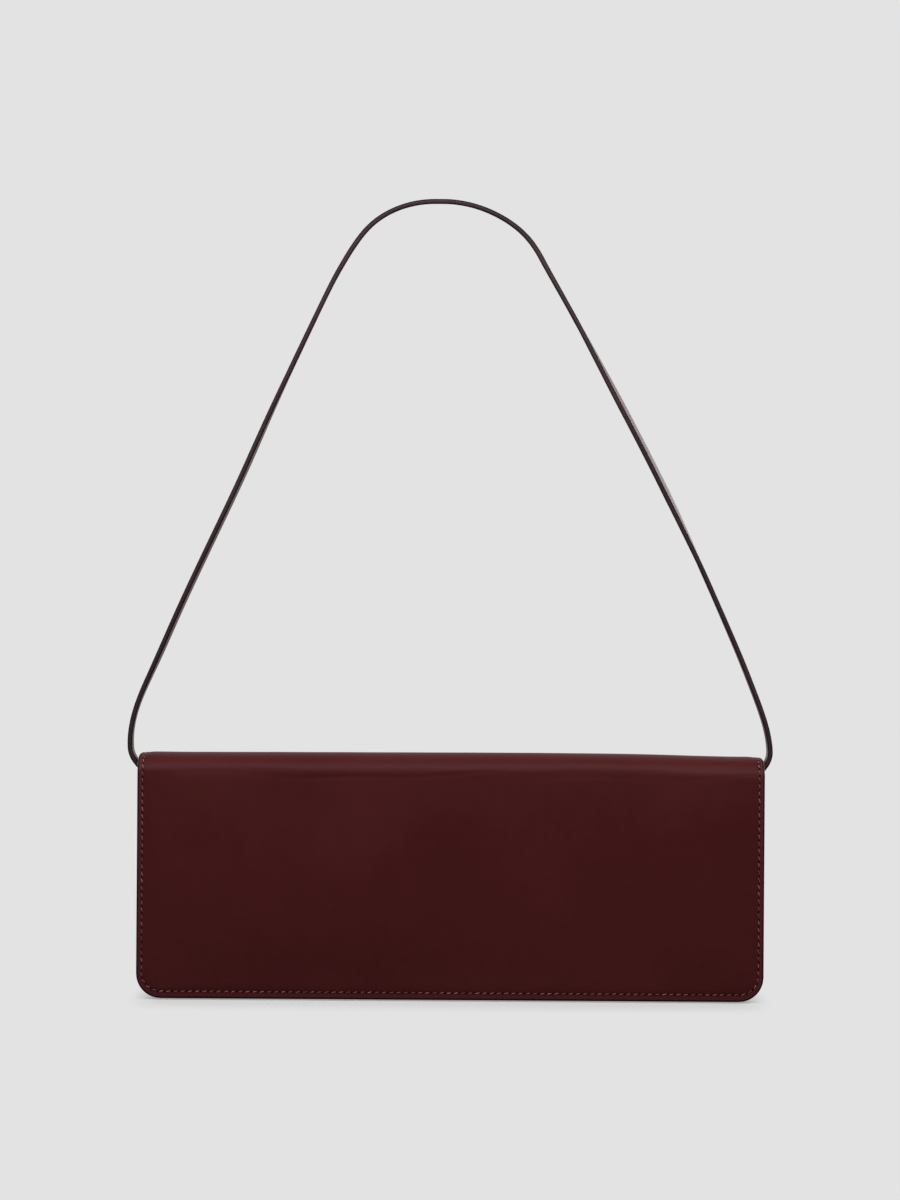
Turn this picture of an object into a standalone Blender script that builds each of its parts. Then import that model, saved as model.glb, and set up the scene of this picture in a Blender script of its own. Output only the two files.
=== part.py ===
"""Slim flap clutch with a long flat strap handle, standing upright on its lower edges.

Metres, +Z up. +X runs along the bag's width and -Y faces the flap. The origin is on the floor,
under the middle of the closed bag. The flap hangs from a rolled top fold, which hangs from the
back panel, and the strap turns on one rivet at each side of the gusset.
"""

import math

import bmesh
import bpy
from mathutils import Matrix, Vector

# Closed bag, overall
BAG_WIDTH = 0.314
BAG_HEIGHT = 0.1235
BAG_DEPTH = 0.032
ROLL_HEIGHT = 0.0105
CORNER_RADIUS = 0.0125
BODY_INSET = 0.002
FRONT_DROP = 0.0015
FLOOR_GAP = 0.0005
FOLD_RELIEF = 0.002
FOLD_FLARE = 0.005

# Sheet thicknesses and the gaps between layers
LEATHER = 0.0012
BOARD = 0.001
LINING = 0.0008
GAP = 0.0003
SHUT_GAP = 0.0004

# Seams and edges
FLANGE = 0.004
FLAP_SEAM = 0.006
PANEL_SEAM = 0.003
EDGE_ROUND = 0.0003

# Magnetic closing
MAGNET_RADIUS = 0.005
MAGNET_SPACING = 0.14
MAGNET_HEIGHT = 0.02

# Slip pocket on the back lining
POCKET_WIDTH = 0.11
POCKET_BOTTOM = 0.03
POCKET_HEIGHT = 0.055
POCKET_RADIUS = 0.006
POCKET_SLOT = 0.001

# Strap, and the line in which it hangs
STRAP_WIDTH = 0.011
STRAP_THICKNESS = 0.0028
STRAP_RISE = 0.2788
STRAP_LEAN = -0.0074
APEX_FLAT = 0.004
APEX_RADIUS = 0.0543
APEX_ANGLE = math.radians(62.0)
KNEE_INSIDE = 0.0049
KNEE_RISE = 0.0361
KNEE_ANGLE = math.radians(22.8)
BULGE_OUTSIDE = 0.0045
BULGE_RISE = 0.002
FOOT_EASE = 0.0005

# Rivets that hold the strap
RIVET_DROP = 0.0045
RIVET_RADIUS = 0.0015
RIVET_CAP_RADIUS = 0.0035
RIVET_CAP_HEIGHT = 0.001
RIVET_BUTTON_RADIUS = 0.0023
RIVET_BUTTON_HEIGHT = 0.0006
BURR_RADIUS = 0.004
BURR_THICKNESS = 0.0008
RUNNING_GAP = 0.0001
TAB_MARGIN = 0.001

# Fineness of round shapes
ARC_STEPS = 10
ROLL_STEPS = 28
HOLE_SIDES = 40
TURN_STEPS = 32

# Levels and planes that several pieces share
HALF_WIDTH = BAG_WIDTH / 2
FLAP_Y = -BAG_DEPTH / 2
BACK_Y = BAG_DEPTH / 2
CREASE_Z = BAG_HEIGHT - ROLL_HEIGHT
PANEL_STACK = LEATHER + GAP + BOARD + GAP + LINING
FRONT_Y = FLAP_Y + PANEL_STACK + SHUT_GAP
FRONT_TOP = CREASE_Z - FRONT_DROP
FRONT_INNER_Y = FRONT_Y + PANEL_STACK
BACK_INNER_Y = BACK_Y - PANEL_STACK
BODY_HALF = HALF_WIDTH - BODY_INSET
BODY_RADIUS = CORNER_RADIUS - BODY_INSET
WEB_OUTER = BODY_HALF - FLANGE
RIVET_Z = FRONT_TOP - RIVET_DROP
CHANNEL_FRONT = FRONT_Y + LEATHER + GAP
CHANNEL_BACK = BACK_Y - LEATHER - GAP
RIVET_Y = (CHANNEL_FRONT + CHANNEL_BACK) / 2
STRAP_FOOT_X = WEB_OUTER + GAP + STRAP_THICKNESS / 2
STRAP_PLY = (STRAP_THICKNESS - GAP) / 2


class Outline:
    """A panel's outline seen from the front: square upper corners and rounded lower ones."""

    def __init__(self, half_width, bottom, top, radius):
        self.half_width = half_width
        self.bottom = bottom
        self.top = top
        self.radius = radius

    def inset(self, margin, top_margin=None):
        """The same outline drawn in by a margin."""
        drop = margin if top_margin is None else top_margin
        radius = max(self.radius - margin, GAP)
        return Outline(self.half_width - margin, self.bottom + margin, self.top - drop, radius)

    def u_line(self):
        """Points down the left side, along the bottom and up the right side."""
        right = [(self.half_width, self.top)]
        centre_x = self.half_width - self.radius
        centre_z = self.bottom + self.radius
        for step in range(ARC_STEPS + 1):
            angle = -math.pi / 2 * step / ARC_STEPS
            across = centre_x + self.radius * math.cos(angle)
            right.append((across, centre_z + self.radius * math.sin(angle)))
        left = [(-x, z) for x, z in right]
        return left + right[::-1]


FLAP_OUTLINE = Outline(HALF_WIDTH, FLOOR_GAP, CREASE_Z - GAP / 2, CORNER_RADIUS)
FRONT_OUTLINE = Outline(BODY_HALF, 0.0, FRONT_TOP, BODY_RADIUS)
BACK_OUTLINE = Outline(BODY_HALF, 0.0, CREASE_Z - GAP / 2, BODY_RADIUS)
WEB_OUTLINE = Outline(WEB_OUTER, FLANGE, FRONT_TOP, max(BODY_RADIUS - FLANGE, LEATHER + 2 * GAP))


def collection(name):
    """A new collection in the scene."""
    group = bpy.data.collections.new(name)
    bpy.context.scene.collection.children.link(group)
    return group


def material(name, colour, roughness, metallic=0.0):
    """A Principled material."""
    made = bpy.data.materials.new(name)
    made.use_nodes = True
    shader = made.node_tree.nodes["Principled BSDF"]
    shader.inputs["Base Color"].default_value = (*colour, 1.0)
    shader.inputs["Roughness"].default_value = roughness
    shader.inputs["Metallic"].default_value = metallic
    return made


def add(name, mesh, finish, parent=None):
    """Put a mesh in the bag's collection as a named piece."""
    piece = bpy.data.objects.new(name, mesh)
    BAG.objects.link(piece)
    piece.data.materials.append(material(name, *finish))
    if parent:
        piece.parent = parent
        piece.matrix_parent_inverse = Matrix.Translation(parent.location).inverted()
    return piece


def pivot(name, place):
    """An empty on a joint's axis."""
    empty = bpy.data.objects.new(name, None)
    empty.location = place
    empty.empty_display_size = CORNER_RADIUS
    BAG.objects.link(empty)
    return empty


def welded_mesh(curve_object):
    """The evaluated curve as a mesh with its caps welded on."""
    bpy.context.view_layer.update()
    evaluated = curve_object.evaluated_get(bpy.context.evaluated_depsgraph_get())
    mesh = bpy.data.meshes.new_from_object(evaluated)
    soup = bmesh.new()
    soup.from_mesh(mesh)
    bmesh.ops.remove_doubles(soup, verts=soup.verts, dist=0.00001)
    soup.to_mesh(mesh)
    soup.free()
    mesh.materials.clear()
    return mesh


def poly_curve(name, points, cyclic):
    """A flat curve through the points, in its own XY plane."""
    curve = bpy.data.curves.new(name, "CURVE")
    curve.dimensions = "2D"
    spline = curve.splines.new("POLY")
    spline.points.add(len(points) - 1)
    for point, (x, y) in zip(spline.points, points):
        point.co = (x, y, 0.0, 1.0)
    spline.use_cyclic_u = cyclic
    return curve


def stand_up(piece, y):
    """Turn a piece drawn in XY so that it stands in XZ, at depth y."""
    piece.rotation_euler = (math.pi / 2, 0.0, 0.0)
    piece.location = (0.0, y, 0.0)


def plate(name, outline, y_low, y_high, finish, parent=None):
    """A flat panel of one thickness, from a filled outline."""
    curve = poly_curve(name, outline.u_line(), True)
    curve.fill_mode = "BOTH"
    curve.extrude = (y_high - y_low) / 2
    guide = bpy.data.objects.new(name + "_guide", curve)
    CUTTERS.objects.link(guide)
    mesh = welded_mesh(guide)
    bpy.data.objects.remove(guide)
    piece = add(name, mesh, finish, parent)
    stand_up(piece, (y_low + y_high) / 2)
    return piece


def cut(piece, cutter, name, operation="DIFFERENCE"):
    """Cut a piece with another object, or join them."""
    cutter.hide_render = True
    cutter.display_type = "WIRE"
    for group in list(cutter.users_collection):
        group.objects.unlink(cutter)
    CUTTERS.objects.link(cutter)
    boolean = piece.modifiers.new(name, "BOOLEAN")
    boolean.operation = operation
    boolean.solver = "EXACT"
    boolean.object = cutter


def disc_mesh(name, radius, thickness):
    """A round disc or pin whose axis is its own Z."""
    mesh = bpy.data.meshes.new(name)
    soup = bmesh.new()
    bmesh.ops.create_cone(
        soup, cap_ends=True, segments=HOLE_SIDES, radius1=radius, radius2=radius, depth=thickness
    )
    soup.to_mesh(mesh)
    soup.free()
    return mesh


def place_on_axis(piece, place, axis):
    """Centre a turned piece at a place, with its axis along X or Y."""
    piece.location = place
    piece.rotation_euler = (0.0, math.pi / 2, 0.0) if axis == "X" else (math.pi / 2, 0.0, 0.0)


def pin_cutter(name, radius, length, place, axis):
    """A round pin among the cutters."""
    pin = bpy.data.objects.new(name, disc_mesh(name, radius, length))
    CUTTERS.objects.link(pin)
    place_on_axis(pin, place, axis)
    return pin


def drill(piece, radius, length, place, axis, name):
    """Drill a round hole through a piece."""
    cut(piece, pin_cutter(piece.name + "_" + name, radius, length, place, axis), name)


def round_edges(piece):
    """Soften the cut edges of a leather piece."""
    bevel = piece.modifiers.new("edge", "BEVEL")
    bevel.width = EDGE_ROUND
    bevel.segments = 2
    bevel.limit_method = "ANGLE"
    bevel.angle_limit = math.radians(50.0)


def strip(name, stations, finish, parent=None):
    """An open ribbon through stations of (left point, right point)."""
    mesh = bpy.data.meshes.new(name)
    soup = bmesh.new()
    before = None
    for left, right in stations:
        pair = (soup.verts.new(left), soup.verts.new(right))
        if before:
            soup.faces.new((before[0], pair[0], pair[1], before[1]))
        before = pair
    soup.to_mesh(mesh)
    soup.free()
    return add(name, mesh, finish, parent)


def give_wall(piece, start, thickness):
    """Thicken an open ribbon from start to start + thickness along its normals, or against them."""
    side = 1.0 if thickness > 0 else -1.0
    wall = piece.modifiers.new("wall", "SOLIDIFY")
    wall.thickness = abs(thickness)
    wall.offset = side * (1.0 + 2.0 * abs(start / thickness))
    wall.use_even_offset = True


def finish_round(piece):
    """Shade a round piece smooth, with sharp edges kept."""
    piece.data.shade_smooth()
    piece.data.set_sharp_from_angle(angle=math.radians(35.0))


def bezier(start, start_handle, end_handle, end, steps):
    """Points on a cubic curve, after its start and up to its end."""
    points = []
    for step in range(1, steps + 1):
        t = step / steps
        s = 1.0 - t
        points.append(
            s**3 * start + 3 * s * s * t * start_handle + 3 * s * t * t * end_handle + t**3 * end
        )
    return points


def lined_panel(side, outline, inner_outline, y_face, inward, board_margin, parent=None):
    """Leather outside, a board in the middle and a lining whose rim closes round the board."""

    def layer(low, high):
        return sorted((y_face + inward * low, y_face + inward * high))

    leather = plate(side + "_leather", outline, *layer(0.0, LEATHER), OUTER_FINISH, parent)
    round_edges(leather)
    board_low = LEATHER + GAP
    board_high = board_low + BOARD
    board_outline = inner_outline.inset(board_margin)
    board = plate(side + "_board", board_outline, *layer(board_low, board_high), BOARD_FINISH, parent)
    lining = plate(
        side + "_lining", inner_outline, *layer(board_low, PANEL_STACK), LINING_FINISH, parent
    )
    pocket = plate(
        side + "_lining_bed",
        board_outline.inset(-GAP),
        *layer(0.0, board_high + GAP),
        LINING_FINISH,
    )
    cut(lining, pocket, "board_bed")
    return board


def magnet_pair(side, board, y_middle, parent=None):
    """Two thin magnets, each in a round hole of the board."""
    for word, x in (("left", -MAGNET_SPACING / 2), ("right", MAGNET_SPACING / 2)):
        place = (x, y_middle, MAGNET_HEIGHT)
        drill(board, MAGNET_RADIUS + GAP, 2 * LEATHER + BOARD, place, "Y", "magnet_hole_" + word)
        name = side + "_magnet_" + word
        magnet = add(name, disc_mesh(name, MAGNET_RADIUS, BOARD), STEEL_FINISH, parent)
        place_on_axis(magnet, place, "Y")
        finish_round(magnet)


def make_flap(parent):
    """The flap that covers the whole front."""
    board = lined_panel("flap", FLAP_OUTLINE, FLAP_OUTLINE, FLAP_Y, 1.0, FLAP_SEAM, parent)
    magnet_pair("flap", board, FLAP_Y + LEATHER + GAP + BOARD / 2, parent)


def make_front():
    """The front panel, which the flap hides when it is closed."""
    nested = WEB_OUTLINE.inset(LEATHER + GAP, 0.0)
    board = lined_panel("front", FRONT_OUTLINE, nested, FRONT_Y, 1.0, PANEL_SEAM)
    magnet_pair("front", board, FRONT_Y + LEATHER + GAP + BOARD / 2)


def make_back():
    """The back panel, up to the crease where the top fold starts."""
    nested = WEB_OUTLINE.inset(LEATHER + GAP, 0.0)
    lined_panel("back", BACK_OUTLINE, nested, BACK_Y, -1.0, PANEL_SEAM)


def fold_half_width(y):
    """Half the roll's width at a depth: cut in beside the strap, as wide as the flap before it."""
    behind = min(1.0, (BACK_Y - y) / (BACK_Y - RIVET_Y - STRAP_WIDTH / 2))
    before = min(1.0, max(0.0, (RIVET_Y - STRAP_WIDTH / 2 - y) / FOLD_FLARE))
    beside = BODY_HALF - FOLD_RELIEF * behind
    return beside + (HALF_WIDTH - beside) * before


def make_top_fold(parent):
    """The soft roll of leather from the back crease over the top to the front crease."""

    def arch():
        rise = CREASE_Z + GAP / 2
        for step in range(ROLL_STEPS + 1):
            angle = math.pi * step / ROLL_STEPS
            y = BACK_Y * math.cos(angle)
            half = fold_half_width(y)
            z = rise + (BAG_HEIGHT - rise) * math.sin(angle)
            yield (-half, y, z), (half, y, z)

    leather = strip("top_fold_leather", arch(), OUTER_FINISH, parent)
    give_wall(leather, 0.0, -LEATHER)
    finish_round(leather)
    lining = strip("top_fold_lining", arch(), LINING_FINISH, parent)
    give_wall(lining, -(LEATHER + GAP), -LINING)
    finish_round(lining)


def channel_profile():
    """The gusset's section: a web with a flange at each side, both turned outwards."""
    front = -CHANNEL_FRONT
    back = -CHANNEL_BACK
    return [
        (FLANGE, front),
        (FLANGE, front - LEATHER),
        (0.0, front - LEATHER),
        (0.0, back + LEATHER),
        (FLANGE, back + LEATHER),
        (FLANGE, back),
        (-LEATHER, back),
        (-LEATHER, front),
    ]


def make_gusset():
    """One channel-shaped leather strip down both sides and along the bottom, with rivet tabs."""
    section = poly_curve("gusset_section", channel_profile(), True)
    section_object = bpy.data.objects.new("gusset_section", section)
    CUTTERS.objects.link(section_object)
    path = poly_curve("gusset_path", WEB_OUTLINE.u_line(), False)
    path.bevel_mode = "OBJECT"
    path.bevel_object = section_object
    path.use_fill_caps = True
    guide = bpy.data.objects.new("gusset_guide", path)
    CUTTERS.objects.link(guide)
    gusset = add("gusset", welded_mesh(guide), GUSSET_FINISH)
    stand_up(gusset, 0.0)
    bpy.data.objects.remove(guide)
    bpy.data.objects.remove(section_object)
    tab_radius = STRAP_WIDTH / 2 + TAB_MARGIN
    for word, sign in (("left", -1.0), ("right", 1.0)):
        middle = (sign * (WEB_OUTER - LEATHER / 2), RIVET_Y, RIVET_Z)
        tab = pin_cutter("gusset_tab_" + word, tab_radius, LEATHER, middle, "X")
        cut(gusset, tab, "tab_" + word, "UNION")
        drill(gusset, RIVET_RADIUS + RUNNING_GAP, 3 * LEATHER, middle, "X", "rivet_hole_" + word)


def make_gusset_lining():
    """The lining inside the gusset, laid over the base board."""
    outline = WEB_OUTLINE.inset(LEATHER + GAP, LEATHER)
    outline.bottom += BOARD + GAP
    low = FRONT_INNER_Y + GAP
    high = BACK_INNER_Y - GAP
    stations = [((x, low, z), (x, high, z)) for x, z in outline.u_line()]
    lining = strip("gusset_lining", stations, LINING_FINISH)
    give_wall(lining, 0.0, LINING)
    for word, sign in (("left", -1.0), ("right", 1.0)):
        middle = (sign * outline.half_width, RIVET_Y, RIVET_Z)
        drill(lining, BURR_RADIUS + GAP, 4 * LINING, middle, "X", "burr_hole_" + word)


def make_base_board():
    """The stiff board under the lining, between the panels."""
    nested = WEB_OUTLINE.inset(LEATHER + GAP, LEATHER)
    half = nested.half_width - nested.radius
    low_y = FRONT_INNER_Y + GAP
    high_y = BACK_INNER_Y - GAP
    mesh = bpy.data.meshes.new("base_board")
    soup = bmesh.new()
    bmesh.ops.create_cube(soup, size=1.0)
    bmesh.ops.scale(soup, vec=(2 * half, high_y - low_y, BOARD), verts=soup.verts)
    soup.to_mesh(mesh)
    soup.free()
    board = add("base_board", mesh, BOARD_FINISH)
    board.location = (0.0, (low_y + high_y) / 2, nested.bottom + BOARD / 2)


def make_slip_pocket():
    """A flat pocket on the back lining, open at its top edge."""
    top = POCKET_BOTTOM + POCKET_HEIGHT
    outline = Outline(POCKET_WIDTH / 2, POCKET_BOTTOM, top, POCKET_RADIUS)
    face = BACK_INNER_Y - GAP
    pocket = plate("slip_pocket", outline, face - POCKET_SLOT - LINING, face, LINING_FINISH)
    slot = plate(
        "slip_pocket_slot", outline.inset(PANEL_SEAM, -PANEL_SEAM), face - POCKET_SLOT, face + LINING,
        LINING_FINISH,
    )
    cut(pocket, slot, "slot")


def turned(name, profile, place, sign, finish):
    """A turned piece whose axis lies along X, its profile given as (radius, outward distance)."""
    mesh = bpy.data.meshes.new(name)
    soup = bmesh.new()
    corners = [soup.verts.new((radius, 0.0, height)) for radius, height in profile]
    for first, second in zip(corners, corners[1:]):
        soup.edges.new((first, second))
    soup.to_mesh(mesh)
    soup.free()
    piece = add(name, mesh, finish)
    screw = piece.modifiers.new("turn", "SCREW")
    screw.axis = "Z"
    screw.steps = TURN_STEPS
    screw.render_steps = TURN_STEPS
    screw.use_merge_vertices = True
    screw.merge_threshold = 0.00001
    screw.use_smooth_shade = True
    piece.rotation_euler = (0.0, sign * math.pi / 2, 0.0)
    piece.location = place
    return piece


def make_rivets():
    """A domed rivet and its inner burr at each side."""
    cap_seat = GAP + STRAP_THICKNESS + GAP
    burr_seat = -(LEATHER + GAP)
    burr_end = burr_seat - BURR_THICKNESS
    button_top = burr_end - GAP
    dome = [
        (
            RIVET_CAP_RADIUS * math.sin(math.radians(angle)),
            cap_seat + RIVET_CAP_HEIGHT * (0.3 + 0.7 * math.cos(math.radians(angle))),
        )
        for angle in range(0, 91, 15)
    ]
    rivet_profile = dome + [
        (RIVET_CAP_RADIUS, cap_seat),
        (RIVET_RADIUS, cap_seat),
        (RIVET_RADIUS, button_top),
        (RIVET_BUTTON_RADIUS, button_top),
        (RIVET_BUTTON_RADIUS, button_top - RIVET_BUTTON_HEIGHT / 2),
        (RIVET_BUTTON_RADIUS / 2, button_top - RIVET_BUTTON_HEIGHT),
        (0.0, button_top - RIVET_BUTTON_HEIGHT),
    ]
    bore = RIVET_RADIUS + GAP
    burr_profile = [
        (bore, burr_seat),
        (BURR_RADIUS, burr_seat),
        (BURR_RADIUS, burr_end),
        (bore, burr_end),
        (bore, burr_seat),
    ]
    for word, sign in (("left", -1.0), ("right", 1.0)):
        place = (sign * WEB_OUTER, RIVET_Y, RIVET_Z)
        turned("strap_rivet_" + word, rivet_profile, place, sign, BRASS_FINISH)
        turned("rivet_burr_" + word, burr_profile, place, sign, BRASS_FINISH)


def strap_half_line():
    """The strap's middle line on the right, from its end up to the flat at the apex."""
    radius = STRAP_WIDTH / 2
    stations = []
    for degrees in (15, 30, 45, 60, 75, 90):
        angle = math.radians(degrees)
        place = Vector((STRAP_FOOT_X, RIVET_Z - radius * math.cos(angle)))
        stations.append((place, radius * math.sin(angle)))
    foot = Vector((STRAP_FOOT_X, RIVET_Z + RIVET_CAP_RADIUS + FOOT_EASE))
    bulge = Vector((HALF_WIDTH + BULGE_OUTSIDE, BAG_HEIGHT + BULGE_RISE))
    knee = Vector((HALF_WIDTH - KNEE_INSIDE, BAG_HEIGHT + KNEE_RISE))
    apex_z = BAG_HEIGHT + STRAP_RISE
    shoulder = Vector((
        APEX_FLAT / 2 + APEX_RADIUS * math.sin(APEX_ANGLE),
        apex_z - APEX_RADIUS * (1.0 - math.cos(APEX_ANGLE)),
    ))
    up = Vector((0.0, 1.0))
    knee_way = Vector((-math.sin(KNEE_ANGLE), math.cos(KNEE_ANGLE)))
    shoulder_way = Vector((-math.cos(APEX_ANGLE), math.sin(APEX_ANGLE)))
    leg = (shoulder - knee).length / 3
    lower = (bulge - foot).length
    upper = (knee - bulge).length / 3
    line = [foot]
    line += bezier(foot, foot + up * lower / 8, bulge - up * lower / 2, bulge, 12)
    line += bezier(bulge, bulge + up * upper, knee - knee_way * upper, knee, 8)
    line += bezier(knee, knee + knee_way * leg, shoulder - shoulder_way * leg, shoulder, 14)
    for step in range(1, 2 * ARC_STEPS + 1):
        angle = APEX_ANGLE * (1.0 - step / (2 * ARC_STEPS))
        line.append(Vector((
            APEX_FLAT / 2 + APEX_RADIUS * math.sin(angle),
            apex_z - APEX_RADIUS * (1.0 - math.cos(angle)),
        )))
    return stations + [(point, radius) for point in line]


def strap_stations():
    """Both edges of the strap's middle surface, from the left end over the apex to the right end."""
    half_line = strap_half_line()
    knee_z = BAG_HEIGHT + KNEE_RISE
    apex_z = BAG_HEIGHT + STRAP_RISE

    def edges(sign, point, half):
        share = max(0.0, (point.y - knee_z) / (apex_z - knee_z))
        x = sign * point.x + STRAP_LEAN * share * share
        return (x, RIVET_Y - half, point.y), (x, RIVET_Y + half, point.y)

    left = [edges(-1.0, point, half) for point, half in half_line]
    right = [edges(1.0, point, half) for point, half in half_line]
    return left + right[::-1]


def make_strap(parent):
    """Two plies of leather glued into one strap, riveted at both ends."""
    stations = strap_stations()
    for word, side in (("outer", 1.0), ("inner", -1.0)):
        ply = strip("strap_" + word, stations, STRAP_FINISH, parent)
        give_wall(ply, GAP / 2, side * STRAP_PLY)
        finish_round(ply)
        for end, sign in (("left", -1.0), ("right", 1.0)):
            place = (sign * STRAP_FOOT_X, RIVET_Y, RIVET_Z)
            drill(ply, RIVET_RADIUS + RUNNING_GAP, 2 * STRAP_THICKNESS, place, "X", "rivet_hole_" + end)


for old in list(bpy.data.objects):
    bpy.data.objects.remove(old)

BAG = collection("flap_clutch_bag")
CUTTERS = collection("cutters")

# Colours are linear, with roughness and metallic after them
OUTER_FINISH = ((0.048, 0.0103, 0.0116), 0.42)
GUSSET_FINISH = ((0.042, 0.009, 0.010), 0.48)
STRAP_FINISH = ((0.050, 0.024, 0.026), 0.45)
LINING_FINISH = ((0.085, 0.030, 0.030), 0.75)
BOARD_FINISH = ((0.25, 0.21, 0.17), 0.9)
BRASS_FINISH = ((0.62, 0.47, 0.22), 0.3, 1.0)
STEEL_FINISH = ((0.55, 0.55, 0.56), 0.35, 1.0)

FOLD_AXIS = pivot("top_fold_axis", (0.0, BACK_Y, CREASE_Z))
FLAP_AXIS = pivot("flap_axis", (0.0, FLAP_Y, CREASE_Z))
STRAP_AXIS = pivot("strap_axis", (0.0, RIVET_Y, RIVET_Z))
FLAP_AXIS.parent = FOLD_AXIS
FLAP_AXIS.matrix_parent_inverse = Matrix.Translation(FOLD_AXIS.location).inverted()

make_back()
make_front()
make_gusset()
make_gusset_lining()
make_base_board()
make_slip_pocket()
make_rivets()
make_top_fold(FOLD_AXIS)
make_flap(FLAP_AXIS)
make_strap(STRAP_AXIS)
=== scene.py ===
import math

import bmesh
import bpy
import numpy as np
from mathutils import Matrix, Vector


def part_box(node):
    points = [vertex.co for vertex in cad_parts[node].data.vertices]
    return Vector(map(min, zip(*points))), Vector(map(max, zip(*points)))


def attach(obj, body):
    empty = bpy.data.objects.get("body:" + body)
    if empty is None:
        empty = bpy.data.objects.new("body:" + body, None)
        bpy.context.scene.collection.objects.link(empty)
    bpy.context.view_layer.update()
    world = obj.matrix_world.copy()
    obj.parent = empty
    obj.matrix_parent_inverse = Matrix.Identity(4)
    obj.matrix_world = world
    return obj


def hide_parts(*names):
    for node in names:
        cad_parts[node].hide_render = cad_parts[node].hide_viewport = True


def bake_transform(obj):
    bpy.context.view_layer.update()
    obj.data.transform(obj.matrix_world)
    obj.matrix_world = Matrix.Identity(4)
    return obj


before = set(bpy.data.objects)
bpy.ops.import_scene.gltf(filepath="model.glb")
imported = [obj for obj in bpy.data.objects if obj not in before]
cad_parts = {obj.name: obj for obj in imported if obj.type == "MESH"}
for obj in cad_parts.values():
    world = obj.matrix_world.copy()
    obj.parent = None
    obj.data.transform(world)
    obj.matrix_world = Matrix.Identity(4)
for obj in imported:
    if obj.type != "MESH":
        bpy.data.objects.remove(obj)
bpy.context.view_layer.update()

BAG = bpy.data.collections.new("clutch_looks")
STAGE = bpy.data.collections.new("stage")
for group in (BAG, STAGE):
    bpy.context.scene.collection.children.link(group)

# Sizes that the fixed model's boxes give, in metres
FLAP_LOW, FLAP_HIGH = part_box("flap_leather")
FRONT_LOW, FRONT_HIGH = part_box("front_leather")
BACK_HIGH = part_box("back_leather")[1]
FOLD_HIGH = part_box("top_fold_leather")[1]
POCKET_LOW, POCKET_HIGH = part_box("slip_pocket")
HALF_WIDTH = FLAP_HIGH.x
BODY_HALF = BACK_HIGH.x
FLAP_Y = FLAP_LOW.y
BACK_Y = BACK_HIGH.y
FRONT_Y = FRONT_LOW.y
FRONT_TOP = FRONT_HIGH.z
FLAP_BOTTOM = FLAP_LOW.z

# Sizes that it has and its boxes don't give
CREASE_Z = 0.113
CORNER_RADIUS = 0.0125
BODY_RADIUS = 0.0105
WEB_HALF = 0.151
WEB_BOTTOM = 0.004
WEB_RADIUS = 0.0065
FLANGE = 0.004
FLANGE_BEND = 0.001
RIVET_Y = 0.002
RIVET_Z = 0.107
TAB_RADIUS = 0.0065
POCKET_RADIUS = 0.006

# The roll: a superellipse over the two creases, a little narrower than the flap
ROLL_RISE = FOLD_HIGH.z - CREASE_Z
ROLL_POWER = 2.3
ROLL_POINTS = 240
ROLL_NARROWER = 0.0007

# Thicknesses, depths below the outer face, and room between layers
LEATHER = 0.00135
LINING = 0.0008
GUSSET_LINING = 0.0005
THIN_STACK = 0.00225
BOARD_STACK = 0.0036
EDGE_SOFT = 0.00055
CLEAR = 0.0002
FRONT_CLEAR = 0.0003
BACK_CLEAR = 0.0004

# Stitching
SEAM_MARGIN = 0.0027
LOW_SEAM_EXTRA = 0.0009
POCKET_SEAM = 0.002
GROOVE_REACH = 0.0006
STITCH_PITCH = 0.0036
STITCH_HALF = (0.00118, 0.00027, 0.00023)
STITCH_SLANT = math.radians(17.0)
STITCH_RAISED = 0.00002
# The needle hole is a flat near-black disc: painted shade where the hole would be
HOLE_HALF = (0.00065, 0.00028, 0.00011)
HOLE_SLANT = math.radians(-54.0)
HOLE_SUNK = 0.00003

# Grids: steps between a sheet's lines, and where the first lines lie, counted from its edges
GRID_STEP = 0.0042
ROW_STEP = 0.004
GUSSET_STEP = 0.0035
FLAP_BEND_STEP = 0.0006
BACK_BEND_STEP = 0.0007
ROLL_STEP = 0.0008
LEAST_STEP = 0.0005
TOP_RIM = 0.006
BEFORE_CREASE = 0.006
PAST_CREASE = 0.004
HAIR = 0.0001
EDGE_LINES = (
    0.0, 0.0005, 0.001, 0.0015, 0.0019, 0.0022, 0.0025, 0.0028,
    0.0031, 0.0035, 0.004, 0.0047, 0.0056, 0.0068, 0.0082, 0.0096,
)
WELD = 0.000001
FAR_FROM_EDGES = 0.02
SHARP = math.radians(60.0)
EDGE_SLOT = 1

# Unevenness of the leather: each wave has its amount, radians per metre and phase
CREASE_WANDER = ((0.0013, 41.0, 0.7), (0.0007, 97.0, 0.0))
CREASE_MARKS = ((1.0, 33.0, 2.3), (0.6, 79.0, 0.5))
ROLL_SWELL = ((0.00016, 23.0, 0.5),)
BEND_SWELL = ((0.0002, 29.0, 1.9), (0.00012, 71.0, 0.3), (0.00007, 163.0, 1.0))
BACK_WANDER = ((0.0005, 37.0, 0.0),)


def even_lines(start, stop, step):
    """Even lines between two lengths, without the first."""
    count = max(2, round(abs(stop - start) / step))
    return [start + (stop - start) * k / count for k in range(1, count + 1)]


def one_side(length, radius, step):
    """Line places from an edge inwards: close at the edge, then even."""
    close = [place for place in EDGE_LINES if place < radius - LEAST_STEP]
    return close + [radius] + even_lines(radius, length, step)


def across_lines(half, radius):
    """Lines across the whole width, from -half to half."""
    left = [place - half for place in one_side(half, radius, GRID_STEP)]
    return left + [-place for place in reversed(left[:-1])]


def select_only(piece):
    """Make one piece the active and only selected one."""
    bpy.ops.object.select_all(action="DESELECT")
    piece.select_set(True)
    bpy.context.view_layer.objects.active = piece


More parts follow.
